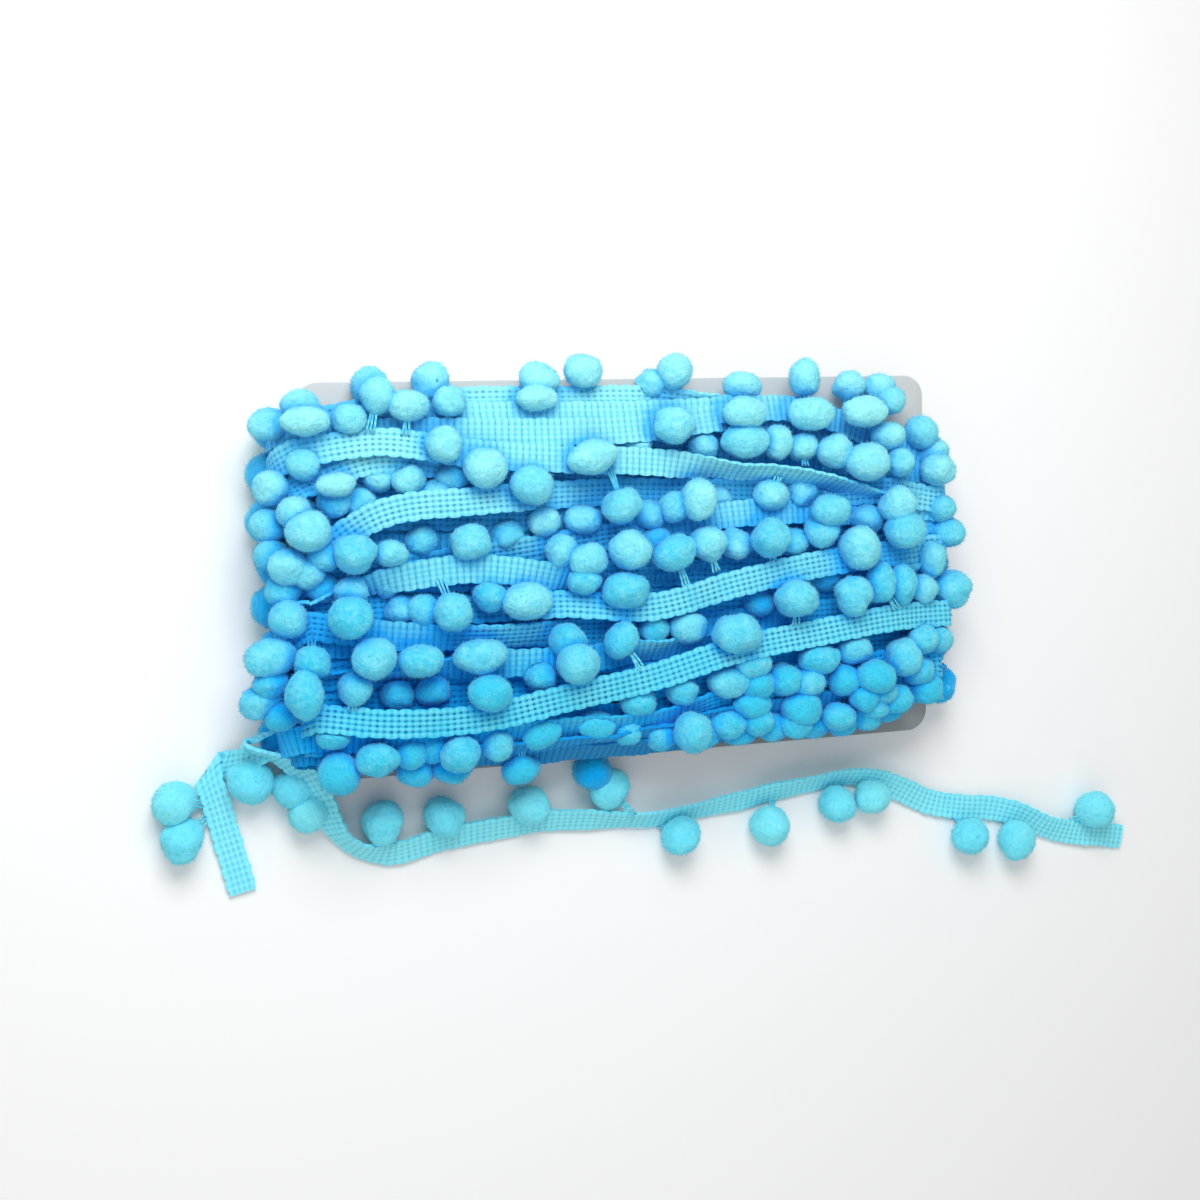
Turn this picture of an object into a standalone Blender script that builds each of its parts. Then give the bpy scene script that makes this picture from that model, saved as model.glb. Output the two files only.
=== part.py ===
"""Pompom fringe trim: a woven tape with soft pompoms along one edge, wound lengthwise on a flat card.

The winding is one lumpy solid with its main turns and pompoms, the card is a plate inside it, and the
two ends of the trim that come off the winding lie on the surface as strips with their pompoms fused on.
Metres, +Z up. The card lies flat, its long side along X. The origin is the middle of the flat spot that
the winding rests on.
"""

import math
import random

import bmesh
import bpy
from mathutils import Matrix, Vector

MM = 0.001

# ---- driving sizes, in millimetres ----
POMPOM = 9.8                # diameter of a pompom
TAPE_WIDTH = 6.5
TAPE_THICK = 1.0
STEM_THICK = 1.6            # the twisted threads that hold a pompom to the tape
CARD_LENGTH = 150.0
CARD_HEIGHT = 86.0
CARD_THICK = 2.0
CARD_CORNER = 5.0
CARD_MIDDLE = 13.0          # height of the card's middle plane over the surface
GAP = 0.35                  # clear space between two pieces
END_GAP = 0.5               # clear space round the ends that leave the winding

# ---- the winding ----
CORE_DEPTH = 12.6           # thickness of the packed inner turns, both faces and the card
CORE_HEIGHT = 73.0          # along the card's short side
CORE_OVERHANG = 3.6         # how far the inner turns stand past the card's ends
TURN_DEPTH = 5.0            # a turn is drawn as a ridge that reaches down into the inner turns
END_REACH = 6.2             # how far an outer turn stands past the card's end
BACK_PITCH = 19.0           # between pompoms on the back runs
FUSE_VOXEL = 0.9
FUSE_KEEP = 0.048           # share of the fused surface's faces that is kept

# The x of each station where a turn's course over the front is given.
STATIONS = (-80.0, -60.0, -40.0, -20.0, 0.0, 20.0, 40.0, 60.0, 78.0)

# One row for each turn. "course" is its y over the front at the stations and "level" its height over the
# card's middle. "bow" is how far its run over the back swings along y, and "under" how far that run lies
# below the card's middle. "pompoms" are (x, reach, lift): where along the front run, how far from the
# tape's middle line along y, and how far above the tape.
TURNS = (
    dict(name="top_edge", level=8.0, course=(33, 36, 37.6, 38, 37.6, 36.8, 36.5, 35.5, 32), bow=3, under=11.6,
         pompoms=((-62, 4.5, 1), (-49, 5, 2), (-24, 4.5, 0), (-14, 6, 1), (7, 7, 1), (24, 5, 1), (40, 6.5, 2),
                  (53, 5, 0), (61, 5, 0))),
    dict(name="upper_ribbed", level=10.5, course=(31.5, 33, 33.8, 33.5, 33.5, 34, 35, 33, 29), bow=2, under=13.3,
         pompoms=((-76, 3.5, 2), (-60, 5.5, 3), (-53, 3, 3), (-25, 5, 3), (25, 1.5, 5), (40, -0.5, 4),
                  (54, 0, 4))),
    dict(name="lower_ribbed", level=11.0, course=(30, 31, 30.5, 30.5, 31, 33, 34, 31, 25), bow=-2, under=9.8,
         pompoms=((-46, -3.5, 4), (-12, -5.5, 4), (7, 1.5, 4), (25, -4.5, 2), (34, -4.5, 1), (40, -6, 0),
                  (47, -6, 1))),
    dict(name="crossing", level=12.0, course=(27, 29, 25.7, 24.5, 24, 22.5, 21.5, 18, 15), bow=2, under=11.6,
         pompoms=((-54, -6.5, 0), (-5, -9.5, 3), (13, -8, 2), (31, -6.5, 1), (55, 5, 4), (64, 7, 0))),
    dict(name="inner_loop", level=9.0, course=(19.5, 25.5, 25.3, 25, 22, 20, 18, 16, 12), bow=-3, under=13.3,
         pompoms=((-69, -4, 3), (-61, -8, -2), (-44, -4.5, 0), (-35, -2.8, 6), (-26, -5.8, 5), (19, -6, -2),
                  (36, -3, -1))),
    dict(name="long_grid", level=11.5, course=(4, 14, 15.8, 17, 17, 16, 15, 13, 10), bow=1, under=9.8,
         pompoms=((-75, 2.5, 4), (-66, -6, 3), (-57, -9, 1), (-50, -9, -2), (-41, -9, 2), (-34, -7, -2),
                  (-24, -5, 0), (-15, -5, 1))),
    dict(name="middle_ribbed", level=9.0, course=(2, 3, 4, 6, 7, 10.8, 12.5, 12, 9), bow=2, under=11.6,
         pompoms=((-20, -1, 3), (-4, -2.2, 5), (7, -5, 4), (15, -4.5, 4), (24, -6, 2), (31, -6, 4), (37, -7, 0),
                  (45, -3.4, 5), (58, -1, 2), (66, 1, 4))),
    dict(name="short_wave", level=10.5, course=(0, -3.2, 0.3, -1.5, 0, 3, 5, 6, 5), bow=4, under=9.8,
         pompoms=((-67, -3, 4), (-58, -4, -2), (-52, -4, -1), (-44, -7, 2), (-37, -5, 2), (-28, -6, 4),
                  (-15, 2.3, 5))),
    dict(name="rising_grid", level=12.0, course=(-4, -5, -6.3, -5.7, -6.5, -2.8, 0.8, 2, 4), bow=2, under=13.3,
         pompoms=((-4, 2.5, 5), (1, -6.5, 0), (-7, -9, 2), (8, -7, 0), (36, -8, 3), (45, -5, -1), (51, 1, 4),
                  (50, -9, 2), (59, -6, 1), (65, -9, 0))),
    dict(name="folded_left", level=9.0, course=(-9, -12, -12.5, -12, -13, -12, -11, -10, -8), bow=-3, under=9.8,
         pompoms=((-75, -5.5, 2), (-62, -4.5, 6), (-53, -6, 6), (-40, -5.5, 6), (-19, -3, 4), (20, -2, 7))),
    dict(name="low_ribbed", level=8.5, course=(-21, -21.5, -19.3, -19.5, -19, -18, -17, -17, -15), bow=2,
         under=11.6,
         pompoms=((-77, -3, 6), (-66, -3, 4), (-59, -6, 0), (-51, -6, 0), (-36, -6.5, 7), (-17, -0.7, 5))),
    dict(name="long_slant", level=12.5, course=(-26, -28.8, -28.5, -26, -21.8, -17.5, -14.3, -12.8, -12), bow=-2,
         under=13.3,
         pompoms=((-71, -4, -3), (24, -5, -2), (42, -8, -1), (50, -7, -2), (66, -8, -1))),
    dict(name="dark_ribbed", level=8.5, course=(-33, -34.5, -33.5, -32, -31.5, -28, -25, -23, -20), bow=3,
         under=11.6,
         pompoms=((-71, -7, 0), (-62, -4, 3), (-46, -5.3, 5), (-35, -3.5, 1), (-25, -4.5, 1), (-12, -3, 1),
                  (-3, 0, 2), (6, 1.5, 2), (18, 2, 2), (30, 0.5, 3), (46, -2.5, 3), (55, -2, 5))),
    dict(name="bottom_edge", level=6.5, course=(-36, -37, -37, -36, -34.7, -31.8, -31, -29, -26), bow=0,
         under=9.8,
         pompoms=((-56, -4, 2), (-48, -6, 1), (-31, -7, 1), (-4, -2, 2), (9, -3, 4), (19, -4.5, 2), (26, 0, 3),
                  (38, -2, 5), (44, -5.5, 3), (53, -2, 4), (57, -6, 2), (62, -3, 3), (68, 0, 4))),
)

# Pompoms that stand out past the card's ends: side (-1 left, 1 right), y, z over the card's middle, and
# how far out past the card's end.
END_POMPOMS = (
    (-1, 33.0, 4.0, 7.0), (-1, 20.0, 2.0, 7.5), (-1, 12.5, -3.0, 6.0), (-1, 5.0, 4.0, 5.5), (-1, -7.0, 5.0, 4.5),
    (-1, -15.5, 1.0, 8.0), (-1, -25.0, -1.0, 8.5), (1, 31.0, 3.0, 3.0), (1, 25.0, -2.0, 6.5), (1, 20.5, 1.5, 7.5),
    (1, 11.5, -3.0, 7.0), (1, 8.0, 1.5, 8.0), (1, 0.5, 0.0, 5.0), (1, -7.5, 2.0, 9.0), (1, -17.5, 0.0, 5.0),
    (1, -28.0, 2.0, 2.5),
)

# The routes of the two free ends: x, y, z of the tape's middle line and its roll in degrees, where 0
# lies flat and 90 stands on edge. Their pompoms are (x, y, z, place): place is the route's point that
# the stem leaves, counted from 0.
LONG_END = dict(
    name="long_end",
    route=((-79.5, -29, 13, 80), (-84.5, -30.5, 13.5, 70), (-86, -33.5, 13.2, 40), (-81.5, -36.2, 12.4, 25),
           (-77.5, -38.8, 10.8, 20), (-74.6, -43, 7.6, 20), (-72.2, -48, 4.4, 20), (-69.8, -52.4, 3.4, 50),
           (-67.6, -56.2, 3.5, 84), (-63, -60, 3.2, 60), (-56.5, -60.8, 2.2, 30), (-49, -58.6, 1.7, 18),
           (-40, -56.6, 1.5, 14), (-30, -55.4, 1.6, 16), (-20, -55, 1.8, 20), (-10, -55.8, 2.0, 24),
           (0, -57.4, 2.4, 38), (9, -58.2, 2.4, 40), (18, -57.6, 1.8, 20), (28, -57, 1.2, 8), (38, -56.2, 1.2, 8),
           (48, -55, 1.5, 14), (57, -53.6, 2.2, 30), (65, -53.6, 2.4, 36), (73, -56.8, 1.9, 24),
           (81, -60.6, 1.2, 8), (90, -62.6, 1.0, 4), (99, -63.6, 1.4, 12), (107, -65.8, 2.0, 28),
           (114, -69.4, 2.0, 28), (122, -71.6, 1.5, 14), (131, -73, 1.1, 6), (138, -74.2, 1.0, 4)),
    pompoms=((-79.5, -46, 5.2, 5), (-77, -51.4, 4.9, 6), (-58.5, -54.2, 4.9, 10), (-44.5, -52, 4.9, 12),
             (-23, -50, 4.9, 14), (-5, -50.4, 4.9, 16), (13.5, -64, 4.9, 17), (38, -63, 4.9, 20),
             (53, -60.4, 4.9, 22), (63.5, -60, 4.9, 23), (90.5, -69.6, 4.9, 26), (104, -71.6, 4.9, 28),
             (127.5, -66, 4.9, 30)),
)
SHORT_END = dict(
    name="short_end",
    route=((-80, -35.5, 7.6, 86), (-84.5, -36.6, 7.4, 80), (-89, -37.6, 7.2, 74), (-93, -38.8, 7.0, 60),
           (-95.2, -41.6, 5.9, 30), (-95, -45, 4.2, 8), (-93.8, -49, 2.4, 4), (-92.4, -53.5, 1.2, 2),
           (-91.2, -58.5, 0.9, 0), (-90.1, -63, 0.9, 2), (-89.2, -67.5, 0.9, 0)),
    pompoms=((-89.4, -43.7, 4.9, 4), (-103.5, -46.5, 4.9, 5), (-102, -54.6, 4.9, 7)),
)

# ---- finishes: base colour, roughness, metallic ----
FINISHES = {
    "trim_blue": ((0.09, 0.56, 0.86, 1.0), 0.85, 0.0),
    "trim_blue_ends": ((0.12, 0.63, 0.90, 1.0), 0.85, 0.0),
    "grey_board": ((0.62, 0.61, 0.59, 1.0), 0.7, 0.0),
}


def clear_scene():
    """Remove everything that the file opened with."""
    for item in list(bpy.data.objects):
        bpy.data.objects.remove(item)


def make_collection(name):
    """Add a collection to the scene."""
    group = bpy.data.collections.new(name)
    bpy.context.scene.collection.children.link(group)
    return group


def finish(name):
    """Make a finish from its colour, roughness and metallic value."""
    colour, roughness, metallic = FINISHES[name]
    material = bpy.data.materials.new(name)
    material.diffuse_color = colour
    material.use_nodes = True
    shader = material.node_tree.nodes["Principled BSDF"]
    shader.inputs["Base Color"].default_value = colour
    shader.inputs["Roughness"].default_value = roughness
    shader.inputs["Metallic"].default_value = metallic
    return material


def add_object(name, mesh, group, material=None):
    """Put a mesh in a collection as an object."""
    item = bpy.data.objects.new(name, mesh)
    group.objects.link(item)
    if material:
        mesh.materials.append(material)
    return item


def mesh_of(bm, name):
    """Turn a bmesh into a mesh with its faces pointing out."""
    bmesh.ops.recalc_face_normals(bm, faces=bm.faces)
    mesh = bpy.data.meshes.new(name)
    bm.to_mesh(mesh)
    bm.free()
    return mesh


def baked(item, name):
    """Return the object's mesh with its modifiers applied, and remove the object."""
    graph = bpy.context.evaluated_depsgraph_get()
    mesh = bpy.data.meshes.new_from_object(item.evaluated_get(graph))
    mesh.name = name
    bpy.data.objects.remove(item)
    return mesh


def as_cutter(item):
    """Mark an object as one that only cuts others."""
    item.hide_render = True
    item.display_type = "WIRE"
    return item


def cut(item, cutter):
    """Take a cutter's shape out of an object."""
    step = item.modifiers.new("cut_" + cutter.name, "BOOLEAN")
    step.operation = "DIFFERENCE"
    step.solver = "EXACT"
    step.object = cutter


# ---- curves through given points ----

def smooth(values, place):
    """Read a smooth curve through the values at a place counted in steps from 0."""
    last = len(values) - 1
    place = min(max(place, 0.0), float(last))
    first = min(int(place), last - 1)
    t = place - first
    a, b, c, d = (values[min(max(first + k, 0), last)] for k in (-1, 0, 1, 2))
    return 0.5 * (2 * b + (c - a) * t + (2 * a - 5 * b + 4 * c - d) * t * t + (3 * b - a - 3 * c + d) * t ** 3)


def course_y(course, x):
    """The y of a turn's front run at x."""
    for k in range(len(STATIONS) - 1):
        if x <= STATIONS[k + 1] or k == len(STATIONS) - 2:
            share = (x - STATIONS[k]) / (STATIONS[k + 1] - STATIONS[k])
            return smooth(course, k + share)
    return course[-1]


def back_y(turn, after, x):
    """The y of a turn's back run at x, on its way from its right end to the next turn's left end."""
    share = 0.5 - x / CARD_LENGTH
    start = turn["course"][-1]
    return start + (after["course"][0] - start) * share + turn["bow"] * math.sin(math.pi * share)


# ---- the winding ----

def turn_loop(turn, after):
    """Middle line of one turn: over the front, round the right end, under the back, round the left end.

    Returns (point, outward direction) pairs. The back run leads to the next turn's left end.
    """
    course = turn["course"]
    level = turn["level"]
    half = CARD_LENGTH / 2
    arc = [math.radians(a) for a in (60, 30, 0, -30, -60)]
    loop = []
    for k in range(25):
        x = -half + CARD_LENGTH * k / 24
        sag = 1.6 * (abs(x) / half) ** 6
        loop.append((Vector((x, course_y(course, x), level - sag)), Vector((0, 0, 1))))
    end_z = level - 1.6
    for angle in arc:
        place = Vector((half + END_REACH * math.cos(angle), course[-1], end_z * math.sin(angle)))
        loop.append((place, Vector((math.cos(angle), 0, math.sin(angle)))))
    for k in range(17):
        x = half - CARD_LENGTH * k / 16
        sag = 2.2 * (abs(x) / half) ** 6
        loop.append((Vector((x, back_y(turn, after, x), sag - turn["under"])), Vector((0, 0, -1))))
    back_z = turn["under"] - 2.2
    for k, angle in enumerate(reversed(arc)):
        share = (k + 1) / 6
        y = after["course"][0] + (course[0] - after["course"][0]) * share
        height = end_z if angle > 0 else back_z
        place = Vector((-half - END_REACH * math.cos(angle), y, height * math.sin(angle)))
        loop.append((place, Vector((-math.cos(angle), 0, math.sin(angle)))))
    return loop


def add_turn(bm, loop):
    """Add one turn to a bmesh as a closed ridge of the tape's width."""
    rings = []
    for place, out in loop:
        centre = place + Vector((0, 0, CARD_MIDDLE))
        across = Vector((0, TAPE_WIDTH / 2, 0))
        corners = [centre - across, centre + across, centre + across - out * TURN_DEPTH,
                   centre - across - out * TURN_DEPTH]
        rings.append([bm.verts.new(corner * MM) for corner in corners])
    for k, ring in enumerate(rings):
        following = rings[(k + 1) % len(rings)]
        for j in range(4):
            bm.faces.new((ring[j], ring[(j + 1) % 4], following[(j + 1) % 4], following[j]))


def add_pompom(bm, centre, diameter, squash, turned, detail=2):
    """Add one soft ball, pressed a little flat along a turned axis."""
    turn = Matrix.Rotation(turned, 4, "Z") @ Matrix.Rotation(turned * 0.7, 4, "X")
    shape = turn @ Matrix.Diagonal((1.0, 1.0, squash, 1.0)) @ turn.inverted()
    place = Matrix.Translation(centre * MM) @ shape
    bmesh.ops.create_icosphere(bm, subdivisions=detail, radius=diameter / 2 * MM, matrix=place)


def front_pompom(turn, x, reach, lift):
    """Where the middle of a pompom of a front run lies."""
    return Vector((x, course_y(turn["course"], x) + reach, CARD_MIDDLE + turn["level"] + lift))


def wound_parts():
    """The packed inner turns, the outer turns and their pompoms, as one mesh of overlapping bodies."""
    draw = random.Random(7)
    bm = bmesh.new()
    size = (CARD_LENGTH + 2 * CORE_OVERHANG, CORE_HEIGHT, CORE_DEPTH)
    place = Matrix.Translation((0, 0, CARD_MIDDLE * MM)) @ Matrix.Diagonal([s * MM for s in size] + [1.0])
    bmesh.ops.create_cube(bm, size=1.0, matrix=place)
    long_edges = [e for e in bm.edges if abs(e.verts[0].co.y - e.verts[1].co.y) > 0.01]
    bmesh.ops.bevel(bm, geom=long_edges, offset=CORE_DEPTH * 0.45 * MM, segments=4, profile=0.5, affect="EDGES")
    for k, turn in enumerate(TURNS):
        after = TURNS[(k + 1) % len(TURNS)] if k < len(TURNS) - 1 else turn
        add_turn(bm, turn_loop(turn, after))
        for x, reach, lift in turn["pompoms"]:
            add_pompom(bm, front_pompom(turn, x, reach, lift), POMPOM * draw.uniform(0.92, 1.04),
                       draw.uniform(0.78, 0.95), draw.uniform(0, 6))
        add_back_pompoms(bm, turn, after, draw)
    for side, y, z, out in END_POMPOMS:
        centre = Vector((side * (CARD_LENGTH / 2 + out), y, CARD_MIDDLE + z))
        add_pompom(bm, centre, POMPOM, draw.uniform(0.8, 0.95), draw.uniform(0, 6))
    return mesh_of(bm, "wound_parts")


def add_back_pompoms(bm, turn, after, draw):
    """Add the pompoms of one back run, pressed between the winding and the surface."""
    x = -CARD_LENGTH / 2 + draw.uniform(4, 16)
    while x < CARD_LENGTH / 2:
        y = back_y(turn, after, x) - draw.uniform(3.5, 6.5)
        add_pompom(bm, Vector((x, y, draw.uniform(3.6, 4.6))), POMPOM * 0.95, 0.85, 0.0)
        x += BACK_PITCH * draw.uniform(0.85, 1.15)


def outer_shell(mesh):
    """Keep only the largest connected surface, so that no hollow is sealed inside."""
    bm = bmesh.new()
    bm.from_mesh(mesh)
    bm.faces.ensure_lookup_table()
    seen = set()
    shells = []
    for face in bm.faces:
        if face in seen:
            continue
        seen.add(face)
        shell = [face]
        for other in shell:
            for edge in other.edges:
                for near in edge.link_faces:
                    if near not in seen:
                        seen.add(near)
                        shell.append(near)
        shells.append(shell)
    shells.sort(key=len)
    for shell in shells[:-1]:
        bmesh.ops.delete(bm, geom=shell, context="FACES")
    bm.to_mesh(mesh)
    bm.free()
    return mesh


def wound_trim(group, cutters, material):
    """The winding: its turns and pompoms fused into one solid, with the card's slot and the flat spot."""
    item = add_object("wound_parts", wound_parts(), group)
    fuse = item.modifiers.new("fuse", "REMESH")
    fuse.mode = "VOXEL"
    fuse.voxel_size = FUSE_VOXEL * MM
    mesh = outer_shell(baked(item, "wound_trim"))
    item = add_object("wound_trim", mesh, group, material)
    thin = item.modifiers.new("thin", "DECIMATE")
    thin.ratio = FUSE_KEEP
    for cutter in cutters:
        cut(item, cutter)
    return item


# ---- the card ----

def card_outline(name, grow, thick):
    """A flat plate of the card's outline, grown by a margin."""
    bm = bmesh.new()
    size = (CARD_LENGTH + 2 * grow, CARD_HEIGHT + 2 * grow, thick)
    place = Matrix.Translation((0, 0, CARD_MIDDLE * MM)) @ Matrix.Diagonal([s * MM for s in size] + [1.0])
    bmesh.ops.create_cube(bm, size=1.0, matrix=place)
    corners = [e for e in bm.edges if abs(e.verts[0].co.z - e.verts[1].co.z) > thick * MM / 2]
    bmesh.ops.bevel(bm, geom=corners, offset=(CARD_CORNER + grow) * MM, segments=5, profile=0.5, affect="EDGES")
    return mesh_of(bm, name)


# ---- the free ends ----

def end_frames(route, per_step):
    """Points along a free end, each with the tape's across direction and its normal.

    The tape's lower edge never sinks under the surface.
    """
    columns = list(zip(*route))
    count = (len(route) - 1) * per_step
    points = [Vector([smooth(columns[k], i / per_step) for k in range(3)]) for i in range(count + 1)]
    frames = []
    for i, point in enumerate(points):
        along = (points[min(i + 1, count)] - points[max(i - 1, 0)]).normalized()
        level = Vector((0, 0, 1)).cross(along).normalized()
        roll = math.radians(smooth(columns[3], i / per_step))
        across = Matrix.Rotation(roll, 3, along) @ level
        normal = along.cross(across).normalized()
        lowest = abs(across.z) * TAPE_WIDTH / 2 + abs(normal.z) * TAPE_THICK / 2
        point.z = max(point.z, lowest + 0.05)
        frames.append((point, across, normal))
    return frames


def tape_mesh(route, grow=0.0, per_step=2, first=0, last=None):
    """The tape of a free end as a strip with flat ends, grown by a margin on every side."""
    frames = end_frames(route[first:last], per_step)
    bm = bmesh.new()
    rings = []
    for point, across, normal in frames:
        half_w = across * (TAPE_WIDTH / 2 + grow)
        half_t = normal * (TAPE_THICK / 2 + grow)
        corners = (point - half_w - half_t, point + half_w - half_t, point + half_w + half_t, point - half_w + half_t)
        rings.append([bm.verts.new(corner * MM) for corner in corners])
    for ring, following in zip(rings, rings[1:]):
        for j in range(4):
            bm.faces.new((ring[j], ring[(j + 1) % 4], following[(j + 1) % 4], following[j]))
    bm.faces.new(rings[0])
    bm.faces.new(list(reversed(rings[-1])))
    return mesh_of(bm, "tape")


def stem_mesh(start, end, thick):
    """The threads between the tape's edge and a pompom, as a four-sided rod."""
    bm = bmesh.new()
    line = end - start
    place = Matrix.Translation((start + end) / 2 * MM) @ line.to_track_quat("Z", "Y").to_matrix().to_4x4()
    bmesh.ops.create_cone(bm, cap_ends=True, segments=4, radius1=thick / 2 * MM, radius2=thick / 2 * MM,
                          depth=line.length * MM, matrix=place)
    return mesh_of(bm, "stem")


def ball_mesh(centre, diameter, detail=2):
    """One pompom of a free end, standing on its lowest point."""
    bm = bmesh.new()
    add_pompom(bm, centre, diameter, 1.0, 0.0, detail)
    return mesh_of(bm, "pompom")


def free_end(end, group, cutters, material):
    """One free end of the trim: the tape with its stems and pompoms fused on."""
    item = add_object(end["name"], tape_mesh(end["route"]), group, material)
    frames = end_frames(end["route"], 1)
    pieces = []
    for x, y, z, place in end["pompoms"]:
        ball = Vector((x, y, z))
        point, across, _normal = frames[place]
        side = 1 if (ball - point).dot(across) > 0 else -1
        root = point + across * side * (TAPE_WIDTH / 2 - 1.0)
        pieces.append(stem_mesh(root, ball, STEM_THICK))
        pieces.append(ball_mesh(ball, POMPOM))
    for k, mesh in enumerate(pieces):
        tool = as_cutter(add_object(end["name"] + "_add_%02d" % k, mesh, cutters))
        step = item.modifiers.new("fuse_%02d" % k, "BOOLEAN")
        step.operation = "UNION"
        step.solver = "EXACT"
        step.object = tool
    return item


def end_clearances(end, cutters, steps):
    """Cutters that keep the winding clear of a free end and its nearest pompoms."""
    tools = [add_object(end["name"] + "_room", tape_mesh(end["route"], END_GAP, 2, 0, steps), cutters)]
    for k, (x, y, z, place) in enumerate(end["pompoms"]):
        if place < steps:
            room = ball_mesh(Vector((x, y, z)), POMPOM + 2 * END_GAP)
            tools.append(add_object("%s_room_%02d" % (end["name"], k), room, cutters))
    return [as_cutter(tool) for tool in tools]


def floor_cutter(cutters):
    """A block under the surface, which presses the winding's underside flat where it rests."""
    bm = bmesh.new()
    place = Matrix.Translation((0, 0, -0.02)) @ Matrix.Diagonal((0.4, 0.4, 0.04, 1.0))
    bmesh.ops.create_cube(bm, size=1.0, matrix=place)
    return as_cutter(add_object("surface", mesh_of(bm, "surface"), cutters))


def main():
    clear_scene()
    group = make_collection("pompom_fringe_trim")
    cutters = make_collection("cutters")
    blue = finish("trim_blue")
    blue_ends = finish("trim_blue_ends")
    board = finish("grey_board")

    slot = as_cutter(add_object("card_slot", card_outline("card_slot", GAP, CARD_THICK + 2 * GAP), cutters))
    rooms = end_clearances(LONG_END, cutters, 9) + end_clearances(SHORT_END, cutters, 6)
    wound_trim(group, [slot, floor_cutter(cutters)] + rooms, blue)
    add_object("winding_card", card_outline("winding_card", 0.0, CARD_THICK), group, board)
    free_end(LONG_END, group, cutters, blue_ends)
    free_end(SHORT_END, group, cutters, blue_ends)


main()
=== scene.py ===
"""Looks of a pompom fringe trim that is wound lengthwise on a card.

A woven tape with scalloped edges carries soft pompoms on twisted threads. Its turns cross each other over
the card, and its two ends lie loose on the surface. Sizes are in millimetres in the tables and fields, and
in metres in the meshes.
"""

import logging
import math
import random
from dataclasses import dataclass, field
from enum import Enum
from typing import Callable, Iterable, Sequence, Union

import bpy
import numpy as np
from mathutils import Matrix, Vector


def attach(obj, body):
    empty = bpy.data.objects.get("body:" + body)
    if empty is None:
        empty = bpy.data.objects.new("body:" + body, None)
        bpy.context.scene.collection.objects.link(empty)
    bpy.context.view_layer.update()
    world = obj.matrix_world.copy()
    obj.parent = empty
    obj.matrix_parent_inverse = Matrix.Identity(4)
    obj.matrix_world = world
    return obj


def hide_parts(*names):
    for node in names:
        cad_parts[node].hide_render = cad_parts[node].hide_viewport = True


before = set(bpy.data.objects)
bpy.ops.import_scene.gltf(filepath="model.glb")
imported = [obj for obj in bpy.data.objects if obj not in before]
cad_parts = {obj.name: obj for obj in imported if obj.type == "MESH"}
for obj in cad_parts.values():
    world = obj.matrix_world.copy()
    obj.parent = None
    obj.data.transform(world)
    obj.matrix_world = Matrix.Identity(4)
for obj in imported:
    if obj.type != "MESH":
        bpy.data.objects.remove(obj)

MM = 0.001
TAU = 2.0 * math.pi
LOG = logging.getLogger("trim")
BODY = "root"

# ---- Sizes shared by the pieces, in millimetres ----

POMPOM = 9.8
TAPE_WIDTH = 6.5
TAPE_THICK = 0.7
RIB_PITCH = 1.5
CARD_LENGTH = 150.0
# The height of the card's middle over the surface, and the least height of anything over it.
CARD_MIDDLE = 13.0
CLEARANCE = 0.05
# The x of the places where each turn's course is given.
STATIONS = (-80.0, -60.0, -40.0, -20.0, 0.0, 20.0, 40.0, 60.0, 78.0)


class Group(Enum):
    """Where a pompom lies, which is the piece that it joins."""

    UPPER = "upper"
    LOWER = "lower"
    BACK = "back"
    END = "end"
    LOOSE = "loose"


# ---- Shader maths ----

Number = Union[float, "Value"]
Colour = tuple[float, float, float, float]
Curve = Callable[[np.ndarray], np.ndarray]


class Value:
    """A socket's output that takes part in Python expressions."""

    def __init__(self, graph: "Graph", socket: bpy.types.NodeSocket) -> None:
        """Keep the graph and the socket."""
        self.graph = graph
        self.socket = socket

    def _math(self, operation: str, first: Number, second: Number = 0.0) -> "Value":
        """Add one Math node.

        Args:
            operation: the node's operation.
            first: its first value.
            second: its second value.

        Returns:
            The node's result.
        """
        return self.graph.node("ShaderNodeMath", {"operation": operation}, {0: first, 1: second})

    def __add__(self, other: Number) -> "Value":
        """Add."""
        return self._math("ADD", self, other)

    def __radd__(self, other: Number) -> "Value":
        """Add, reflected."""
        return self._math("ADD", other, self)

    def __sub__(self, other: Number) -> "Value":
        """Subtract."""
        return self._math("SUBTRACT", self, other)

    def __rsub__(self, other: Number) -> "Value":
        """Subtract, reflected."""
        return self._math("SUBTRACT", other, self)

    def __mul__(self, other: Number) -> "Value":
        """Multiply."""
        return self._math("MULTIPLY", self, other)

    def __rmul__(self, other: Number) -> "Value":
        """Multiply, reflected."""
        return self._math("MULTIPLY", other, self)

    def wave(self) -> "Value":
        """A rounded wave from 0 to 1 that peaks at whole numbers."""
        return 0.5 + 0.5 * self._math("COSINE", self * TAU)

    def at_most(self, other: Number) -> "Value":
        """The smaller of two values."""
        return self._math("MINIMUM", self, other)

    def at_least(self, other: Number) -> "Value":
        """The larger of two values."""
        return self._math("MAXIMUM", self, other)

    def clamped(self) -> "Value":
        """The value held between 0 and 1."""
        return self.at_least(0.0).at_most(1.0)

    def distance(self, other: Number) -> "Value":
        """The distance to another value."""
        return self._math("ABSOLUTE", self - other)

    def ramp(self, low: float, high: float) -> "Value":
        """A smooth step from 0 at low to 1 at high."""
        settings = {"interpolation_type": "SMOOTHSTEP"}
        return self.graph.node("ShaderNodeMapRange", settings, {0: self, 1: low, 2: high, 3: 0.0, 4: 1.0})


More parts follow.
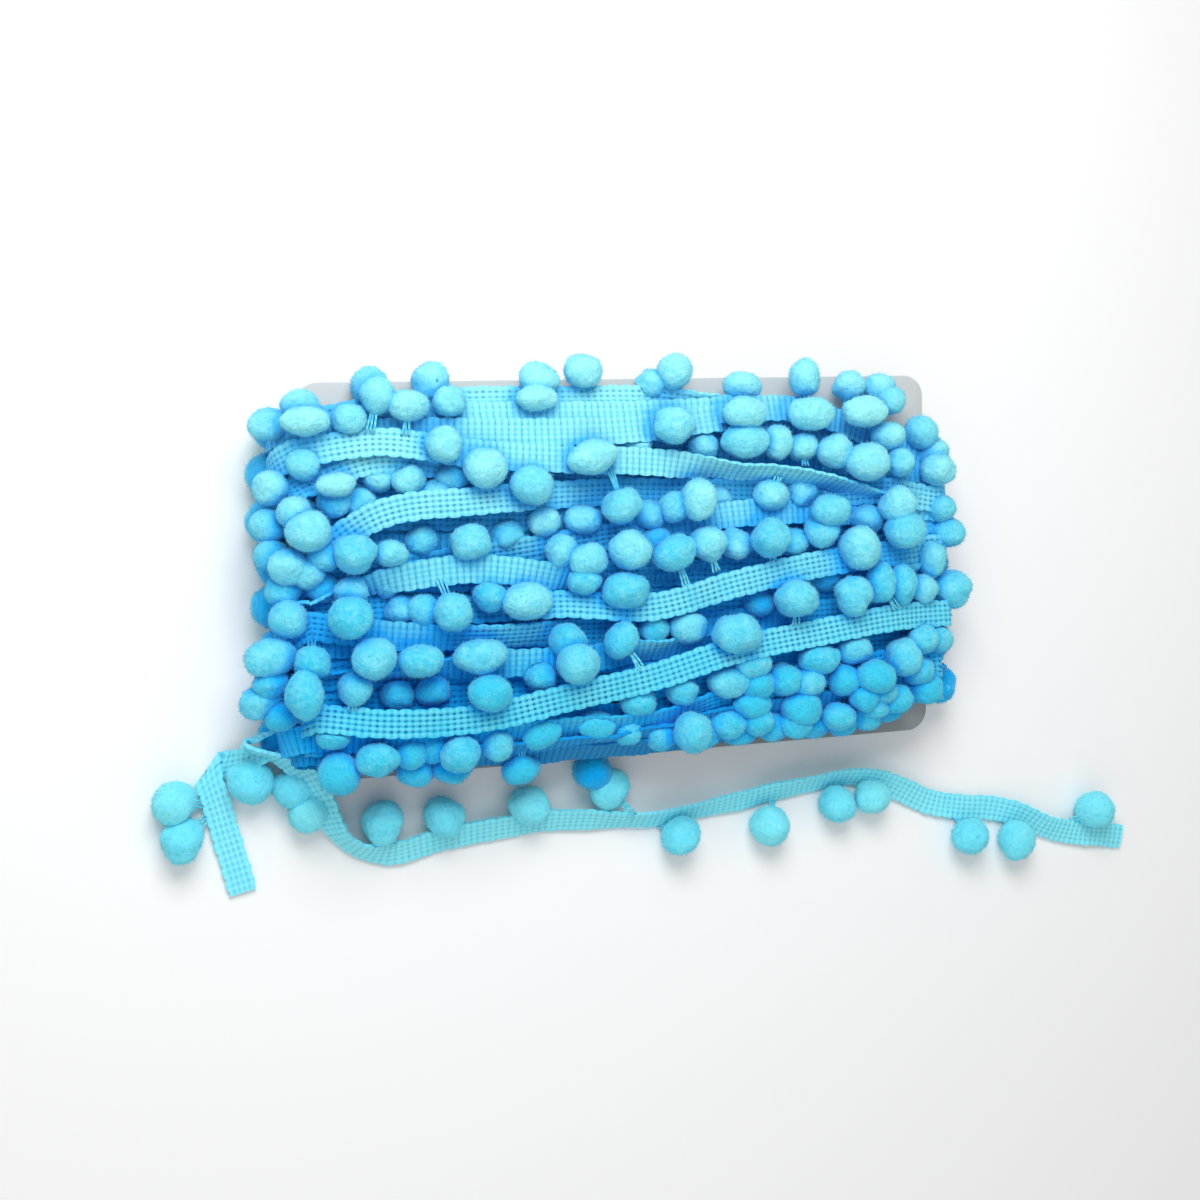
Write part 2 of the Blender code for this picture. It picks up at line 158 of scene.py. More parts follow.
class Graph:
    """A material's node tree, with one method that makes any node."""

    def __init__(self, name: str) -> None:
        """Start an empty material.

        Args:
            name: the material's name.
        """
        self.material = bpy.data.materials.new(name)
        self.material.use_nodes = True
        self.tree = self.material.node_tree
        self.tree.nodes.clear()

    def node(self, kind: str, settings: dict, inputs: dict, output: Union[int, str] = 0) -> Value:
        """Add a node.

        Args:
            kind: the node's type.
            settings: properties that are set before the sockets.
            inputs: values or links for its sockets, by name or number.
            output: which output is wanted.

        Returns:
            That output.
        """
        item = self.tree.nodes.new(kind)
        for key, value in settings.items():
            setattr(item, key, value)
        for key, value in inputs.items():
            if isinstance(value, Value):
                self.tree.links.new(value.socket, item.inputs[key])
            else:
                item.inputs[key].default_value = value
        return Value(self, item.outputs[output])

    def place(self) -> Value:
        """The object's own coordinates, in metres."""
        return self.node("ShaderNodeTexCoord", {}, {}, "Object")

    def pair(self, uv_map: str) -> tuple[Value, Value]:
        """Read the two coordinates of a UV map.

        Args:
            uv_map: the map's name.

        Returns:
            Its u and v.
        """
        where = self.node("ShaderNodeUVMap", {"uv_map": uv_map}, {})
        both = self.node("ShaderNodeSeparateXYZ", {}, {0: where})
        return both, Value(self, both.socket.node.outputs[1])

    def painted_light_side(self) -> Value:
        """Painted light: -0.5 along the card's lower side to 0.5 along its upper one, where more light falls.
        """
        y = self.node("ShaderNodeSeparateXYZ", {}, {0: self.place()}, 1)
        return (y * 10.0).at_least(-0.5).at_most(0.5)

    def painted_shade_share(self, buried: Value, low: float, high: float, painted_light: float) -> Value:
        """Painted shade: how far a colour turns to a darker blue where other parts hide it, less so on the
        lit upper side.
        """
        return buried.ramp(low, high) * (0.85 - self.painted_light_side() * painted_light * 0.4)

    def attribute(self, name: str) -> Value:
        """A number stored on the mesh."""
        return self.node("ShaderNodeAttribute", {"attribute_name": name}, {}, "Fac")

    def noise(self, where: Value, scale: float, detail: float = 2.0, rough: float = 0.5) -> Value:
        """Soft noise from 0 to 1 at a scale, in features to the metre."""
        sizes = {"Vector": where, "Scale": scale, "Detail": detail, "Roughness": rough}
        return self.node("ShaderNodeTexNoise", {}, sizes, "Fac")

    def blend(self, share: Number, first: Union[Colour, Value], second: Union[Colour, Value]) -> Value:
        """Mix two colours by a share from 0, the first, to 1, the second."""
        return self.node("ShaderNodeMix", {"data_type": "RGBA"}, {0: share, 6: first, 7: second}, 2)

    def bump(self, height: Value, depth: float, strength: float = 1.0) -> Value:
        """A bumped normal from a height, with its depth in metres."""
        return self.node("ShaderNodeBump", {}, {"Height": height, "Distance": depth, "Strength": strength})

    def finish(self, **sockets: Union[float, Colour, Value]) -> bpy.types.Material:
        """Close the material with a Principled shader.

        Args:
            sockets: its sockets' values or links, with _ for a space in a name.

        Returns:
            The material.
        """
        inputs = {key.replace("_", " "): value for key, value in sockets.items()}
        shader = self.node("ShaderNodeBsdfPrincipled", {}, inputs)
        output = self.tree.nodes.new("ShaderNodeOutputMaterial")
        self.tree.links.new(shader.socket, output.inputs["Surface"])
        return self.material


# ---- Finishes ----

@dataclass(frozen=True)
class TapeFinish:
    """Woven blue tape: warp cords along it, weft ribs across it and small holes between them.

    The strip's "ribbed" attribute says which face shows, 0 the open grid and 1 the ribbed one. Its
    "buried" attribute says how far other turns hide it, and painted shade turns it a darker blue
    there. Its "shade" attribute adds more painted shade, and above 0.5 it darkens the whole face too.

    holes and grooves are how dark the gaps of the grid are painted, as painted shade, and painted_light is
    how much lighter the card's upper side is painted. The raised cords and ribs are painted lighter, a
    painted highlight. rows is how many warp cords lie side by side. Scales are in features to the metre, and
    the bump's depth is in metres.
    """

    name: str
    holes: float = 0.64
    grooves: float = 0.20
    painted_light: float = 1.2
    thread: Colour = (0.045, 0.59, 0.85, 1.0)
    crest: Colour = (0.31, 0.86, 0.91, 1.0)
    deep: Colour = (0.0, 0.43, 0.97, 1.0)
    hollow: Colour = (0.0, 0.15, 0.40, 1.0)
    rows: int = 5
    fibre_scale: float = 4300.0
    patch_scale: float = 160.0
    slack_scale: float = 620.0
    bump_depth: float = 0.00026

    def material(self) -> bpy.types.Material:
        """Build the material from the strip's own UV map, one unit of u to a rib and v across it.

        Returns:
            The material.
        """
        g = Graph(self.name)
        u, v = g.pair("tape")
        ribbed = g.attribute("ribbed")
        buried = g.attribute("buried") + g.attribute("shade")
        where = g.place()
        fibre = g.noise(where, self.fibre_scale, 3.0, 0.6)
        patch = g.noise(where, self.patch_scale, 2.0)
        slack = g.noise(where, self.slack_scale, 1.0).ramp(0.36, 0.62)
        rib = u.wave()
        cord = (v * self.rows + 0.5).wave()
        inside = v.distance(0.5).ramp(0.46, 0.41)
        # Painted shade: the grooves, holes and rib slits below are painted dark, more so where the tape lies
        # deep.
        groove = (1.0 - cord).ramp(0.52, 0.95) * inside
        gap = (1.0 - rib).ramp(0.42, 0.80)
        hole = groove * gap * (0.25 + 0.45 * slack + 0.30 * patch.ramp(0.35, 0.62))
        grid_dark = hole * self.holes + groove * self.grooves + gap * 0.05
        pairs = (u * 0.5 + 0.25).wave()
        slit = (1.0 - rib).ramp(0.84, 1.0) * (0.6 + 0.4 * pairs) * v.distance(0.5).ramp(0.50, 0.45)
        tick = slit * (0.4 + 0.6 * (v * 3.0 + 0.5).wave())
        ribbed_dark = tick * (0.22 + 0.35 * patch + 0.30 * slack + 0.3 * buried) + groove * 0.03
        # Painted light: the gaps are painted less dark on the card's upper side.
        contrast = 0.9 - g.painted_light_side() * self.painted_light * 0.6
        dark = (grid_dark * (1.0 - ribbed) + ribbed_dark * ribbed) * contrast
        # Painted shade: a shade above 0.5 darkens the whole face towards the hollow colour.
        dark = (dark + g.attribute("shade").ramp(0.5, 1.0) * 0.85).at_most(1.0)
        grid_height = cord * 0.42 + rib * 0.16 - hole * 0.8
        ribbed_height = rib * 0.8 + cord * 0.05 - tick * 0.4
        height = grid_height * (1.0 - ribbed) + ribbed_height * ribbed + fibre * 0.22
        # Painted highlight on the raised cords and ribs, and painted light on the upper side, with the
        # fibres' and patches' own tone.
        lit = rib * 0.3 + cord * 0.3 + fibre * 0.5 + patch * 0.5 + g.painted_light_side() * self.painted_light - 0.3
        colour = g.blend(lit.clamped(), self.thread, self.crest)
        # Painted shade: a darker blue where other turns hide the tape, less so on the upper side.
        colour = g.blend(g.painted_shade_share(buried, 0.10, 0.75, self.painted_light), colour, self.deep)
        colour = g.blend(dark, colour, self.hollow)
        return g.finish(Base_Color=colour, Roughness=0.85, Normal=g.bump(height, self.bump_depth, 0.8),
                        Sheen_Weight=0.25, Sheen_Roughness=0.5, Sheen_Tint=(0.5, 0.93, 1.0, 1.0),
                        Specular_IOR_Level=0.15)


@dataclass(frozen=True)
class PompomFinish:
    """Soft brushed pile, with a tone of its own on each pompom, and painted shade of a darker blue in the
    depths.

    The "tone" attribute is the pompom's own, "buried" says how far other parts hide it, for the
    painted shade, and painted_light is how much lighter the card's upper side is painted.
    """

    name: str
    painted_light: float = 1.1
    deep: Colour = (0.0, 0.45, 0.97, 1.0)
    middle: Colour = (0.045, 0.60, 0.85, 1.0)
    pale: Colour = (0.34, 0.90, 0.93, 1.0)
    pile_scale: float = 2400.0
    tuft_scale: float = 900.0
    mottle_scale: float = 420.0
    bump_depth: float = 0.0006

    def material(self) -> bpy.types.Material:
        """Build the material with fine pile and soft mottling.

        Returns:
            The material.
        """
        g = Graph(self.name)
        where = g.place()
        pile = g.noise(where, self.pile_scale, 2.0, 0.6)
        tuft = g.noise(where, self.tuft_scale, 2.0, 0.5)
        mottle = g.noise(where, self.mottle_scale, 3.0, 0.55)
        light = g.attribute("tone") * 0.45 + mottle * 0.8 + pile * 0.6 + tuft * 0.5
        # Painted light: the card's upper side is painted paler, beside the pompom's own tone and mottling.
        light = light + g.painted_light_side() * self.painted_light - 0.72
        colour = g.blend(light.clamped(), self.middle, self.pale)
        # Painted shade: a darker blue where other parts hide the pile, less so on the upper side.
        colour = g.blend(g.painted_shade_share(g.attribute("buried"), 0.05, 0.72, self.painted_light), colour, self.deep)
        normal = g.bump(pile * 0.5 + tuft, self.bump_depth, 0.6)
        return g.finish(Base_Color=colour, Roughness=1.0, Normal=normal, Sheen_Weight=0.6,
                        Sheen_Roughness=0.55, Sheen_Tint=(0.4, 0.92, 1.0, 1.0), Specular_IOR_Level=0.02)


@dataclass(frozen=True)
class ThreadFinish:
    """Softly twisted thread of the stems."""

    name: str
    light: Colour = (0.22, 0.82, 0.92, 1.0)
    dark: Colour = (0.06, 0.58, 0.82, 1.0)
    deep: Colour = (0.006, 0.42, 0.80, 1.0)

    def material(self) -> bpy.types.Material:
        """Build the material with a twist that follows each strand.

        Returns:
            The material.
        """
        g = Graph(self.name)
        u, v = g.pair("thread")
        twist = (u + v).wave()
        # Painted light and shade: the twist's ridges are painted lighter and its grooves darker.
        colour = g.blend(twist, self.dark, self.light)
        # Painted shade: a darker blue where other parts hide the thread.
        colour = g.blend(g.attribute("buried").ramp(0.1, 0.7), colour, self.deep)
        return g.finish(Base_Color=colour, Roughness=0.8, Normal=g.bump(twist, 0.00008, 0.6),
                        Sheen_Weight=0.3, Sheen_Tint=(0.6, 0.93, 1.0, 1.0))


@dataclass(frozen=True)
class BoardFinish:
    """Smooth pale grey board that turns to the dim colour along its lower edge, in the turns' shade."""

    name: str
    face: Colour = (0.62, 0.645, 0.64, 1.0)
    fleck: Colour = (0.50, 0.52, 0.52, 1.0)
    dim: Colour = (0.14, 0.165, 0.17, 1.0)
    cloud_scale: float = 90.0
    fibre_scale: float = 2600.0

    def material(self) -> bpy.types.Material:
        """Build the material with faint fibres and flecks.

        Returns:
            The material.
        """
        g = Graph(self.name)
        where = g.place()
        cloud = g.noise(where, self.cloud_scale, 3.0)
        fibre = g.noise(where, self.fibre_scale, 4.0, 0.7)
        colour = g.blend((cloud * 0.6 + fibre * 0.7 - 0.3).clamped(), self.face, self.fleck)
        colour = g.blend((g.painted_light_side() * -1.0).ramp(0.20, 0.50), colour, self.dim)
        return g.finish(Base_Color=colour, Roughness=0.62, Normal=g.bump(fibre, 0.0001, 0.35))


@dataclass(frozen=True)
class PlainFinish:
    """One even surface, for the floor."""

    name: str
    colour: Colour
    roughness: float

    def material(self) -> bpy.types.Material:
        """Build the material."""
        return Graph(self.name).finish(Base_Color=self.colour, Roughness=self.roughness)


@dataclass
class Looks:
    """The materials of every piece."""

    tape: bpy.types.Material
    loose: bpy.types.Material
    fluffy: bpy.types.Material
    pompom: bpy.types.Material
    thread: bpy.types.Material
    board: bpy.types.Material

    @classmethod
    def make(cls) -> "Looks":
        """Build all materials.

        Returns:
            The looks, with every material in them.
        """
        finishes = (
            TapeFinish("woven_tape"),
            # Painted light: the loose ends' tape and pile are lighter copies of the winding's materials, and
            # their negative painted_light paints them lighter below the card.
            TapeFinish("loose_tape", holes=0.10, grooves=0.10, painted_light=-0.8,
                       thread=(0.07, 0.71, 0.99, 1.0), crest=(0.28, 0.90, 1.0, 1.0)),
            PompomFinish("loose_pile", painted_light=-0.5, middle=(0.09, 0.74, 1.0, 1.0), pale=(0.25, 0.90, 1.0, 1.0)),
            PompomFinish("pompom_pile"),
            ThreadFinish("twisted_thread"),
            BoardFinish("grey_board"),
        )
        return cls(*(finish.material() for finish in finishes))


# ---- Modelling helpers ----

def deselect() -> None:
    """Leave nothing selected."""
    if bpy.context.object and bpy.context.object.mode != "OBJECT":
        bpy.ops.object.mode_set(mode="OBJECT")
    bpy.ops.object.select_all(action="DESELECT")


def choose(item: bpy.types.Object) -> None:
    """Select one object alone and make it active.

    Args:
        item: the object.
    """
    deselect()
    item.select_set(True)
    bpy.context.view_layer.objects.active = item


def block(name: str, size: Sequence[float]) -> bpy.types.Object:
    """Add a block round the card's middle.

    Args:
        name: its name, and its mesh's.
        size: its sizes along x, y and z, in millimetres.

    Returns:
        The block.
    """
    deselect()
    bpy.ops.mesh.primitive_cube_add(size=1.0)
    item = bpy.context.object
    item.name = item.data.name = name
    place = Matrix.Translation((0.0, 0.0, CARD_MIDDLE * MM))
    item.data.transform(place @ Matrix.Diagonal([s * MM for s in size] + [1.0]))
    return item


def linked(name: str, data: bpy.types.ID) -> bpy.types.Object:
    """Make an object of its data.

    Args:
        name: its name.
        data: its mesh, lamp or camera.

    Returns:
        The object, linked to the scene.
    """
    item = bpy.data.objects.new(name, data)
    bpy.context.scene.collection.objects.link(item)
    return item


def vertices(mesh: bpy.types.Mesh) -> np.ndarray:
    """Read the places of a mesh's vertices.

    Args:
        mesh: the mesh.

    Returns:
        One row for each vertex, in the mesh's own units.
    """
    flat = np.empty(len(mesh.vertices) * 3)
    mesh.vertices.foreach_get("co", flat)
    return flat.reshape(-1, 3)


def corners(mesh: bpy.types.Mesh) -> np.ndarray:
    """Read which vertex is at each corner of a mesh's faces.

    Args:
        mesh: the mesh.

    Returns:
        The vertex numbers, face by face.
    """
    numbers = np.empty(len(mesh.loops), dtype=np.int32)
    mesh.loops.foreach_get("vertex_index", numbers)
    return numbers


def store(mesh: bpy.types.Mesh, name: str, values: np.ndarray) -> None:
    """Write a number onto each vertex, as an attribute."""
    mesh.attributes.new(name, "FLOAT", "POINT").data.foreach_set("value", values)


def store_uv(mesh: bpy.types.Mesh, name: str, places: np.ndarray) -> None:
    """Give a mesh one UV map.

    Args:
        mesh: the mesh.
        name: the map's name.
        places: u and v for each vertex.
    """
    while mesh.uv_layers:
        mesh.uv_layers.remove(mesh.uv_layers[0])
    mesh.uv_layers.new(name=name).data.foreach_set("uv", places[corners(mesh)].ravel())


def apply_modifier(item: bpy.types.Object, kind: str, **settings: object) -> None:
    """Add a modifier with its settings and apply it.

    Args:
        item: the object.
        kind: the modifier's type.
        settings: its properties.
    """
    choose(item)
    step = item.modifiers.new(kind.lower(), kind)
    for key, value in settings.items():
        setattr(step, key, value)
    bpy.ops.object.modifier_apply(modifier=step.name)


def smooth_shade(item: bpy.types.Object, degrees: float = 180.0) -> None:
    """Shade an object smooth, with edges sharper than an angle kept."""
    choose(item)
    bpy.ops.object.shade_smooth_by_angle(angle=math.radians(degrees))


def dress(item: bpy.types.Object, material: bpy.types.Material) -> bpy.types.Object:
    """Give a piece its material, and let it ride on the one body.

    Args:
        item: the piece.
        material: its material.

    Returns:
        The same piece.
    """
    item.data.materials.clear()
    item.data.materials.append(material)
    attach(item, BODY)
    LOG.info("%s: %d faces", item.name, len(item.data.polygons))
    return item


def wobble(seed: int, waves: int, slow: float, fast: float) -> Curve:
    """A smooth random function of one number, about -1 to 1.

    Args:
        seed: picks the function.
        waves: how many sine waves it sums.
        slow: its lowest frequency, in waves to the unit.
        fast: its highest frequency.

    Returns:
        The function, which takes an array.
    """
    draw = random.Random(seed)
    terms = [(draw.uniform(slow, fast), draw.uniform(0, TAU)) for _ in range(waves)]

    def read(x: np.ndarray) -> np.ndarray:
        """The sum of the waves at x."""
        return sum(np.sin(TAU * f * np.asarray(x) + p) for f, p in terms) / math.sqrt(waves * 1.4)

    return read


def smooth(values: Sequence[float], place: np.ndarray) -> np.ndarray:
    """Read a smooth curve through values.

    Args:
        values: the values, one step apart.
        place: where to read it, counted in steps from 0.

    Returns:
        The curve's values there.
    """
    table = np.asarray(values, float)
    last = len(table) - 1
    place = np.clip(np.asarray(place, float), 0.0, last)
    first = np.minimum(place.astype(int), last - 1)
    t = place - first
    a, b, c, d = (table[np.clip(first + k, 0, last)] for k in (-1, 0, 1, 2))
    square = (2 * a - 5 * b + 4 * c - d) * t ** 2
    cube = (3 * b - a - 3 * c + d) * t ** 3
    return 0.5 * (2 * b + (c - a) * t + square + cube)


def softened(values: np.ndarray, ends: str) -> np.ndarray:
    """The running mean of seven values, with the ends padded in one of numpy's ways."""
    return np.convolve(np.pad(values, 3, mode=ends), np.ones(7) / 7, mode="valid")


def at_stations(values: Sequence[float], x: np.ndarray) -> np.ndarray:
    """Read a turn's course at x, through the values at the stations."""
    steps = np.interp(np.asarray(x, float), STATIONS, range(len(STATIONS)))
    return smooth(values, steps)


def unit(rows: np.ndarray) -> np.ndarray:
    """Scale each row to length 1."""
    return rows / np.maximum(np.linalg.norm(rows, axis=-1, keepdims=True), 1e-12)


def turned(vectors: np.ndarray, axes: np.ndarray, angles: np.ndarray) -> np.ndarray:
    """Turn each vector about an axis of its own.

    Args:
        vectors: one vector to a row.
        axes: the axis of each, of length 1.
        angles: the angle of each, in radians.

    Returns:
        The turned vectors.
    """
    c = np.cos(angles)[:, None]
    s = np.sin(angles)[:, None]
    along = np.sum(axes * vectors, axis=1, keepdims=True)
    return vectors * c + np.cross(axes, vectors) * s + axes * along * (1 - c)


@dataclass
class Line:
    """The middle line of a strip in mm, with its across direction, normal and face at each point.

    ribbed is 0 where the open grid shows and 1 where the ribs do.
    """

    points: np.ndarray
    across: np.ndarray
    normals: np.ndarray
    ribbed: np.ndarray
    closed: bool = False

    def lengths(self) -> np.ndarray:
        """Distance along the line to each point, and for a closed one to its start again."""
        points = np.vstack([self.points, self.points[:1]]) if self.closed else self.points
        return np.concatenate([[0.0], np.cumsum(np.linalg.norm(np.diff(points, axis=0), axis=1))])

    def resampled(self, count: int) -> "Line":
        """Space the points of the line evenly.

        Args:
            count: how many points.

        Returns:
            The new line, where the last point of a closed one is its first again.
        """
        far = self.lengths()
        where = np.linspace(0.0, far[-1], count)
        rows = []
        for table in (self.points, self.across, self.normals, self.ribbed[:, None]):
            table = np.vstack([table, table[:1]]) if self.closed else table
            rows.append(np.stack([np.interp(where, far, column) for column in table.T], axis=1))
        return Line(rows[0], rows[1], unit(rows[2]), rows[3][:, 0], self.closed)


@dataclass
class Strip:
    """A length of the woven tape laid along a line.

    cells are across it and per_rib along it. body is the share of its width inside the scallops, which stand
    out by scallop, start at edge_from of the half width and are rounder for a lower lobe_round. relief is
    the height of its ribs, flutter how far it rocks and billow how far its edges lift. shade is the painted
    shade that its finish reads, as an attribute.
    """

    name: str
    line: Line
    seed: int = 0
    cells: int = 4
    per_rib: int = 4
    scallop: float = 0.44
    body: float = 0.86
    edge_from: float = 0.6
    lobe_round: float = 0.6
    relief: float = 0.05
    flutter: float = 0.22
    billow: float = 0.18
    shade: float = 0.0

    def ribs(self) -> int:
        """How many weft ribs fit the line, an even number as each lobe of the edge takes two."""
        return 2 * round(float(self.line.lengths()[-1]) / RIB_PITCH / 2)

    def build(self) -> bpy.types.Object:
        """Model the strip: a grid laid along the line, with scalloped edges, given its thickness.

        Returns:
            The strip's object, with one unit of its UV map to a rib.
        """
        ribs = self.ribs()
        count = ribs * self.per_rib + 1
        line = self.line.resampled(count)
        u = np.linspace(0.0, ribs, count)
        across = np.linspace(-1.0, 1.0, self.cells + 1)
        deselect()
        bpy.ops.mesh.primitive_grid_add(x_subdivisions=count - 1, y_subdivisions=self.cells, size=2.0)
        item = bpy.context.object
        item.name = item.data.name = self.name
        mesh = item.data
        flat = vertices(mesh)
        i = np.rint((flat[:, 0] + 1.0) / 2.0 * (count - 1)).astype(int)
        j = np.rint((flat[:, 1] + 1.0) / 2.0 * self.cells).astype(int)
        s = across[j]
        edge = np.clip((np.abs(s) - self.edge_from) / (1.0 - self.edge_from), 0.0, 1.0)
        uneven = 0.8 + 0.2 * np.sin(2.4 * np.floor(u[i] / 2 + 0.25) + self.seed)
        lobe = uneven * np.abs(np.sin(math.pi * (u[i] + 0.5) / 2)) ** self.lobe_round
        out = s * TAPE_WIDTH / 2 * self.body + np.sign(s) * edge ** 2 * self.scallop * lobe
        wave = wobble(self.seed, 5, 0.02, 0.11)
        sway = wobble(self.seed + 91, 5, 0.03, 0.16)
        lift = self.flutter * s * wave(u[i]) + self.relief * np.cos(TAU * u[i])
        lift = lift + self.billow * sway(u[i]) * s ** 2
        place = line.points[i] + line.across[i] * out[:, None] + line.normals[i] * lift[:, None]
        place[:, 2] = np.maximum(place[:, 2], TAPE_THICK / 2 + CLEARANCE)
        mesh.vertices.foreach_set("co", (place * MM).ravel())
        store_uv(mesh, "tape", np.stack([u[i], (s + 1.0) / 2.0], axis=1))
        store(mesh, "ribbed", line.ribbed[i])
        store(mesh, "shade", np.full(len(i), self.shade))
        if self.line.closed:
            bpy.ops.object.mode_set(mode="EDIT")
            bpy.ops.mesh.select_all(action="SELECT")
            bpy.ops.mesh.remove_doubles(threshold=1e-5)
            bpy.ops.object.mode_set(mode="OBJECT")
        apply_modifier(item, "SOLIDIFY", thickness=TAPE_THICK * MM, offset=0.0)
        smooth_shade(item, 50.0)
        return item


def joined_mesh(name: str, points: np.ndarray, faces: np.ndarray) -> bpy.types.Object:
    """Make one object of many copies.

    Args:
        name: the object's name.
        points: its vertices, in millimetres.
        faces: rows of vertex numbers, all of one length.

    Returns:
        The object, linked to the scene.
    """
    mesh = bpy.data.meshes.new(name)
    sides = faces.shape[1]
    mesh.vertices.add(len(points))
    mesh.vertices.foreach_set("co", (points * MM).ravel())
    mesh.loops.add(faces.size)
    mesh.loops.foreach_set("vertex_index", faces.ravel().astype(np.int32))
    mesh.polygons.add(len(faces))
    mesh.polygons.foreach_set("loop_start", np.arange(0, faces.size, sides, dtype=np.int32))
    mesh.update(calc_edges=True)
    mesh.validate()
    return linked(name, mesh)


# ---- Pompoms and their threads ----

@dataclass
class Pompom:
    """One soft ball: its middle, sizes along x, y and z, its turn, and where its threads leave the tape.

    The turn is in degrees, and the seed sets its form and tone.
    """

    centre: np.ndarray
    sizes: tuple
    turn: float
    seed: int
    root: np.ndarray
    group: Group = Group.UPPER

    def reach(self, way: np.ndarray) -> float:
        """How far it reaches from its middle along a direction."""
        return float(np.linalg.norm(np.array(self.sizes) / 2 * way))

    def hangs_free(self, least: float = 0.2) -> bool:
        """Tell whether its threads show between it and the tape.

        Args:
            least: the length that has to show.

        Returns:
            Whether they show.
        """
        way = self.root - self.centre
        far = float(np.linalg.norm(way))
        return far > self.reach(way / far) + least


@dataclass
class Bed:
    """A run of tape that pompoms lie on or under: its y and z along x, and which side is outward."""

    x: np.ndarray
    y: np.ndarray
    z: np.ndarray
    outward: float


class PompomMaker:
    """Shapes the pompoms: one ball is modelled, and each copy is pressed by what it touches.

    Ripples of random sizes and pitches make a ball uneven, and grain roughens it. Its side within pinch_from
    of the threads is drawn in or out by up to pull. Its fibres are rooted at a depth of rooted and lean by
    fuzz. It yields softly, by give, to a neighbour that is within meets pompom widths, and never past the
    share past_middle of its own size.

    A tape holds it off as far as hold from the tape's middle line, fading over hold_fade, and keep_off from
    its face. One whose middle is more than sunk below the tape is pressed down under it, by push_most.
    """

    ripples: int = 9
    ripple_size: tuple = (0.010, 0.025)
    ripple_pitch: tuple = (2.0, 6.5)
    grain: float = 0.08
    pinch_from: float = 0.6
    pull: tuple = (-0.5, 0.9)
    fibres: int = 420
    fibre_length: float = 0.85
    fibre_width: float = 0.2
    rooted: float = 0.06
    fuzz: float = 0.35
    give: float = 0.8
    meets: float = 1.25
    past_middle: float = 0.3
    hold: float = TAPE_WIDTH / 2 + 0.3
    hold_fade: float = 0.6
    keep_off: float = 0.5
    sunk: float = 1.5
    push_most: float = 6.0

    def __init__(self, detail: int = 4) -> None:
        """Model the ball that the copies start from.

        Args:
            detail: how often the ball is divided.
        """
        deselect()
        bpy.ops.mesh.primitive_ico_sphere_add(subdivisions=detail, radius=1.0)
        ball = bpy.context.object
        self.points = unit(vertices(ball.data))
        self.faces = corners(ball.data).reshape(-1, 3)
        bpy.data.objects.remove(ball)

    def shaped(self, pompom: Pompom) -> np.ndarray:
        """The uneven soft form of one pompom before it is pressed.

        Args:
            pompom: the pompom.

        Returns:
            Its vertices, in millimetres.
        """
        draw = random.Random(pompom.seed)
        ripple = np.zeros(len(self.points))
        for _ in range(self.ripples):
            way = unit(np.array([[draw.gauss(0, 1) for _ in range(3)]]))[0]
            size = draw.uniform(*self.ripple_size)
            pitch = draw.uniform(*self.ripple_pitch)
            ripple += size * np.sin(pitch * self.points @ way + draw.uniform(0, TAU))
        spin = np.array(Matrix.Rotation(math.radians(pompom.turn), 3, "Z"))
        ball = self.points * (1.0 + ripple)[:, None]
        shape = (ball * np.array(pompom.sizes) / 2) @ spin.T
        stem = unit((pompom.root - pompom.centre)[None])[0]
        facing = unit(shape) @ stem
        pinch = np.clip((facing - self.pinch_from) / (1.0 - self.pinch_from), 0.0, 1.0) ** 2
        grain = np.random.default_rng(abs(pompom.seed)).normal(0.0, self.grain, len(shape))
        pull = draw.uniform(*self.pull)
        drawn = stem * (pull * pinch)[:, None]
        return pompom.centre + shape + drawn + self.points @ spin.T * grain[:, None]

    def pressed(self, shapes: list[np.ndarray], pompoms: Sequence[Pompom]) -> None:
        """Press neighbouring pompoms softly where they meet.

        Args:
            shapes: the vertices of each pompom, which are changed.
            pompoms: the pompoms, in the same order.
        """
        centres = np.array([p.centre for p in pompoms])
        for a, pompom in enumerate(pompoms):
            gaps = np.linalg.norm(centres - centres[a], axis=1)
            for b in np.nonzero((gaps < POMPOM * self.meets) & (gaps > 1e-6))[0]:
                way = (centres[b] - centres[a]) / gaps[b]
                mine, other = pompom.reach(way), pompoms[b].reach(way)
                wall = (gaps[b] ** 2 + mine ** 2 - other ** 2) / (2 * gaps[b])
                wall = max(wall, -self.past_middle * mine)
                far = (shapes[a] - centres[a]) @ way
                over = np.maximum(far - wall, 0.0)
                keep = self.give * (1.0 - np.exp(-over / self.give))
                shapes[a] -= way * (over - keep)[:, None]

    def bedded(self, shapes: list[np.ndarray], pompoms: Sequence[Pompom], beds: Sequence[Bed]) -> None:
        """Flatten each pompom against the runs of tape that it lies on or under.

        Args:
            shapes: the vertices of each pompom, which are changed.
            pompoms: the pompoms, in the same order.
            beds: the runs of tape.
        """
        for shape, pompom in zip(shapes, pompoms):
            for bed in beds:
                behind = (pompom.centre[2] - CARD_MIDDLE) * bed.outward < 0
                if behind or abs(pompom.centre[0]) > bed.x[-1] + 1:
                    continue
                y = np.interp(shape[:, 0], bed.x, bed.y)
                z = np.interp(shape[:, 0], bed.x, bed.z)
                own = float(np.interp(pompom.centre[0], bed.x, bed.z))
                hold = np.clip((self.hold - np.abs(shape[:, 1] - y)) / self.hold_fade, 0.0, 1.0)
                side = 1.0 if (pompom.centre[2] - own) * bed.outward > -self.sunk else -1.0
                height = (shape[:, 2] - z) * bed.outward * side
                push = np.clip(self.keep_off - height, 0.0, self.push_most) * hold
                shape[:, 2] += push * bed.outward * side

    @staticmethod
    def grounded(shapes: list[np.ndarray]) -> None:
        """Press pompoms flat on the surface, in place."""
        for shape in shapes:
            np.maximum(shape[:, 2], CLEARANCE, out=shape[:, 2])

